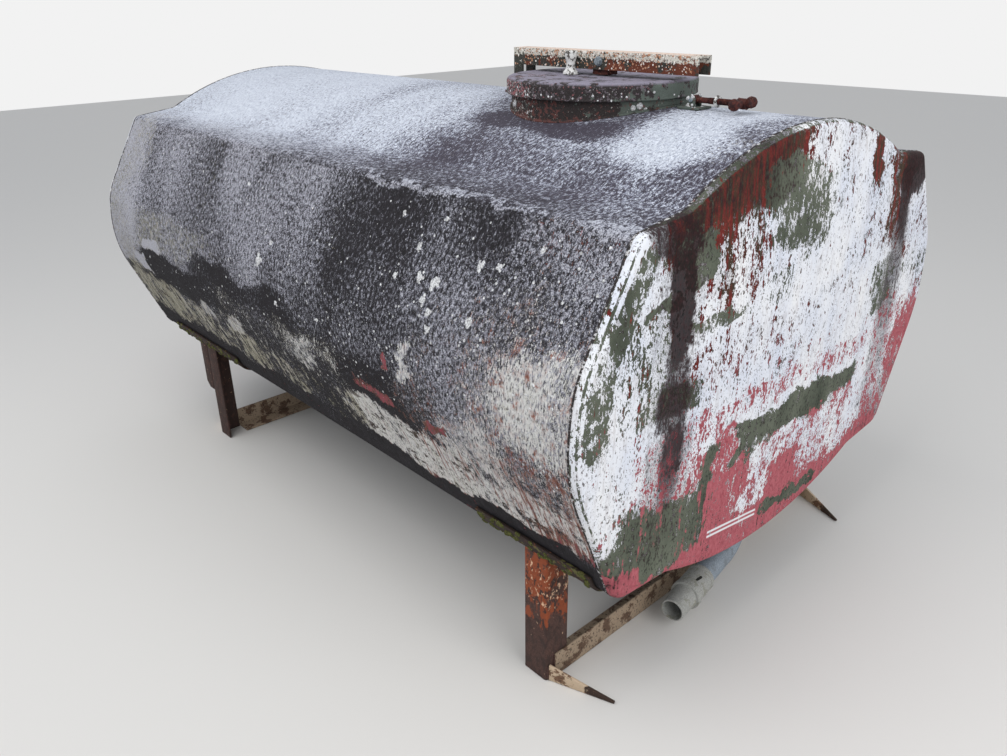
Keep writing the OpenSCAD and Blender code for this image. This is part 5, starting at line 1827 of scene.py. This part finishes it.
@dataclass
class Crusts:
    """Lichen on plates and fittings, and moss under the saddle strips."""

    tank: Tank
    seed: int = 11
    widest: float = 0.8015                          # y beyond which nothing grows, inside the CAD's box
    bar_top: float = 1.5172                         # height of the crusts on the bar's top
    bar_side: float = 0.0280                        # distance of those on its side from its middle
    bar_edge: float = 1.5153                        # height from which crusts hang down the bar's side
    bar_drop: float = 0.044                         # how far they hang down
    neck_reach: float = 0.2498                      # distance from the manway's axis, on the neck
    skirt_reach: float = 0.2642                     # the same on the lid's skirt

    def side_spot(self, x: float, z: float, lift: float = -0.0002) -> tuple[Point, Point]:
        """A place on the long side towards -Y.

        Args:
            x: Along the tank.
            z: Height over the ground.
            lift: Distance from the plate.

        Returns:
            The place and the direction that it faces.
        """
        line = [p for i in (2, 3, 4, 5) for p in self.tank.section.arc(i, 0.0, 2)]
        for (y0, z0), (y1, z1) in zip(line, line[1:]):
            if z1 + LEDGE_Z <= z <= z0 + LEDGE_Z:
                t = (z - LEDGE_Z - z0) / (z1 - z0 or 1)
                ny, nz = z1 - z0, y0 - y1
                size = math.hypot(ny, nz)
                y = y0 + (y1 - y0) * t
                lift -= self.tank.dent(x, y, z - LEDGE_Z)
                return (x, y + lift * ny / size, z + lift * nz / size), (0.0, ny / size, nz / size)
        return (x, line[-1][0], z), (0.0, -1.0, 0.0)

    def cluster(self, rng: np.random.Generator, x: float, z: float, radius: float) -> list[Spot]:
        """One large lichen: lobes about a middle.

        Args:
            rng: Seeded source of chance.
            x: Along the tank.
            z: Height.
            radius: Its radius.

        Returns:
            Place, facing and size of each lobe.
        """
        found = [(*self.side_spot(x, z), radius * 0.62)]
        for _ in range(7):
            t, reach = rng.uniform(0, 2 * math.pi), radius * rng.uniform(0.35, 0.85)
            found.append((*self.side_spot(x + reach * math.cos(t), z + reach * math.sin(t)),
                          radius * rng.uniform(0.2, 0.42)))
        return found

    def side(self, rng: np.random.Generator) -> None:
        """Grows the large lichens at their places on the long side, and small ones by chance.

        Args:
            rng: Seeded source of chance.
        """
        large = ((0.61, 1.05, 11), (0.66, 1.12, 13), (0.70, 1.06, 17), (0.755, 1.06, 20), (0.74, 1.02, 14),
                 (0.77, 1.0, 15), (0.78, 0.965, 12), (0.91, 1.01, 14), (0.88, 1.12, 14), (0.94, 1.13, 12),
                 (-0.03, 0.955, 22), (0.02, 1.015, 12), (0.07, 0.85, 11), (0.3, 0.86, 10), (-0.22, 1.14, 10),
                 (0.72, 1.19, 10), (0.56, 1.18, 10), (1.04, 1.18, 11))    # x, z and radius in millimetres
        spots = [spot for x, z, r in large for spot in self.cluster(rng, x, z, r * MM)]
        GROWTH.grow("side_lichen", spots, 0.12, 0.10, THALLUS, Body.TANK, Slot.SHELL)
        spots = []
        for _ in range(1300):
            x = 1.22 - 2.3 * rng.uniform() ** 1.6
            z = rng.uniform(0.72, 1.225) if rng.uniform() < 0.7 else rng.uniform(0.6, 1.0)
            spots.append((*self.side_spot(x, z), MM * (1.0 + 3.2 * rng.uniform() ** 2.5)))
        spots = [spot for spot in spots if spot[0][1] > -self.widest]
        GROWTH.grow("side_lichen_fine", spots, 0.22, 0.03, THALLUS, Body.TANK, Slot.SHELL)

    def bar(self, rng: np.random.Generator) -> None:
        """Grows crusts on the bar's top and down its side, and leaves the bolt's slot free.

        Args:
            rng: Seeded source of chance.
        """
        spots = []
        for _ in range(1100):
            x, y = rng.uniform(0.284, 0.936), rng.uniform(-0.0275, 0.0275)
            top = rng.uniform() < 0.42
            if top:
                place, facing = (x, y, self.bar_top), (0.0, 0.0, 1.0)
            else:
                drop = self.bar_drop * rng.uniform() ** 2.2
                place, facing = (x, -self.bar_side, self.bar_edge - drop), (0.0, -1.0, 0.0)
            if not top or abs(y) > 0.012 or x < 0.9:
                spots.append((place, facing, MM * rng.uniform(1.0, 3.0)))
        GROWTH.grow("bar_lichen", spots, 0.26, 0.03, BAR_CRUST, Body.COVER, Slot.IRON)

    def ring_spot(self, turn: float, reach: float, z: float, radius: float) -> Spot:
        """A place round the manway's axis that faces outwards, and its radius in millimetres."""
        c, s = math.cos(math.radians(turn)), math.sin(math.radians(turn))
        return (MANWAY_X + reach * c, reach * s, z), (c, s, 0.0), radius * MM

    def neck(self, rng: np.random.Generator) -> None:
        """Grows lichens on the neck and on the swing bolt's lugs and base.

        Args:
            rng: Seeded source of chance.
        """
        places = ((-118, 1.39, 11), (-122, 1.385, 8), (-160, 1.385, 9), (-168, 1.39, 7), (-150, 1.375, 5),
                  (-100, 1.375, 4), (-96, 1.38, 3), (-30, 1.395, 7), (-26, 1.40, 9), (-22, 1.39, 6))
        spots = [self.ring_spot(turn, self.neck_reach, z, r) for turn, z, r in places]
        spots += scattered(rng, "bolt_lugs", 16, (0.0025, 0.0065), lambda n, c: n.y < -0.3 or n.z > 0.5)
        spots += scattered(rng, "bolt_base", 9, (0.002, 0.005), lambda n, c: n.z > 0.5)
        GROWTH.grow("neck_lichen", spots, 0.3, 0.30, THALLUS, Body.TANK, Slot.MANWAY)

    def moss(self, rng: np.random.Generator) -> None:
        """Grows moss on the outer faces of the saddle strips, below the tank's corner.

        Args:
            rng: Seeded source of chance.
        """
        spots = []
        for name in ("near_left_rail", "far_left_rail", "near_right_rail", "far_right_rail"):
            side = -1 if "left" in name else 1
            spots += scattered(rng, name, 70, (0.0035, 0.0095), lambda n, c: n.y * side > 0.3 and c.z < 0.46)
        GROWTH.grow("strip_moss", spots, 0.5, 0.30, MOSS, Body.TANK, Slot.STAND)

    def skirt(self, rng: np.random.Generator) -> None:
        """Grows small lichens on the lid's skirt, most of them towards the far left.

        Args:
            rng: Seeded source of chance.
        """
        spots = []
        for _ in range(70):
            turn = rng.choice([rng.uniform(-180, -95), rng.uniform(-180, 0)])
            spots.append(self.ring_spot(turn, self.skirt_reach, rng.uniform(1.416, 1.44),
                                        rng.uniform(1.0, 3.6)))
        GROWTH.grow("lid_lichen", spots, 0.22, 0.08, THALLUS, Body.COVER, Slot.MANWAY)

    def build(self) -> None:
        """Grows everything, from one source of chance."""
        rng = np.random.default_rng(self.seed)
        for grow in (self.side, self.bar, self.neck, self.moss, self.skirt):
            grow(rng)


GROWTH = Growth()


def main() -> None:
    """Builds the sub-assemblies in order."""
    noise.seed_set(NOISE_SEED)
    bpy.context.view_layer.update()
    section = Section()
    Studio().build()
    tank = Tank(section)
    tank.build()
    Manway(section).build()
    Clamp().build()
    Stand().build()
    Outlet().build()
    Crusts(tank).build()


@dataclass
class Studio:
    """Camera at the photograph's angle, soft overhead light, pale floor."""

    lens: float = 29.456
    place: Point = (2.2069, -1.8461, 1.6638)
    yaw: float = 47.651
    pitch: float = 25.023
    roll: float = -0.822
    aim: Point = (0, 0, 0.7)       # what the lamps look at
    floor_half: float = 14

    def camera(self) -> None:
        """Puts the camera where the photograph was taken from."""
        yaw, pitch, roll = (math.radians(a) for a in (self.yaw, self.pitch, self.roll))
        ahead = Vector((-math.sin(yaw) * math.cos(pitch), math.cos(yaw) * math.cos(pitch), -math.sin(pitch)))
        level = Vector((math.cos(yaw), math.sin(yaw), 0))
        rise = level.cross(ahead)
        right = level * math.cos(roll) + rise * math.sin(roll)
        up = -level * math.sin(roll) + rise * math.cos(roll)
        data = bpy.data.cameras.new("camera")
        data.lens, data.sensor_width, data.clip_start = self.lens, 36.0, 0.02
        made = linked("camera", data)
        pose = Matrix((right, up, -ahead)).transposed().to_4x4()
        pose.translation = Vector(self.place)
        made.matrix_world = pose
        bpy.context.scene.camera = made

    def light(self, name: str, place: Point, size: float, watts: float) -> None:
        """Hangs one white soft box that looks at the tank.

        Args:
            name: The lamp's name.
            place: Where it hangs.
            size: Its side in metres.
            watts: Its power.
        """
        data = bpy.data.lights.new(name, "AREA")
        data.shape, data.size, data.energy = "SQUARE", size, watts
        made = linked(name, data)
        made.location = place
        made.rotation_euler = (Vector(self.aim) - Vector(place)).to_track_quat("-Z", "Y").to_euler()

    def floor(self) -> None:
        """Lays the pale floor."""
        mesh = bpy.data.meshes.new("floor")
        half, z = self.floor_half, -0.002
        mesh.from_pydata([(-half, -half, z), (half, -half, z), (half, half, z), (-half, half, z)], [],
                         [(0, 1, 2, 3)])
        tone = bpy.data.materials.new("studio_floor")
        tone.use_nodes = True
        inputs = tone.node_tree.nodes["Principled BSDF"].inputs
        inputs["Base Color"].default_value, inputs["Roughness"].default_value = linear("#dcd9d4"), 0.9
        mesh.materials.append(tone)
        linked("floor", mesh)

    def build(self) -> None:
        """Sets the view, the sky, the lamps and the floor."""
        scene = bpy.context.scene
        scene.view_settings.view_transform = "Standard"
        self.camera()
        world = bpy.data.worlds.new("sky")
        scene.world = world
        world.use_nodes = True
        tree = world.node_tree
        tree.nodes.clear()
        path = add(tree, "LightPath")
        lit = add(tree, "Background", {"Color": linear("#e9eef6"), "Strength": 0.72})
        shown = add(tree, "Background", {"Color": linear("#f2f2f2"), "Strength": 1.0})
        rays = [path.node.outputs[f"Is {kind} Ray"] for kind in ("Camera", "Glossy", "Transmission")]
        seen = add(tree, "Math MAXIMUM", (add(tree, "Math MAXIMUM", (rays[0], rays[1])), rays[2]))
        both = add(tree, "MixShader", (seen, lit, shown))
        add(tree, "OutputWorld", {"Surface": both})
        self.light("overhead", (0.2, -2.4, 4.2), 3.5, 95)
        self.light("near_end", (4.2, -0.6, 2.4), 3.0, 62)
        self.floor()
        log.info("studio ready")


if __name__ == "__main__":
    main()
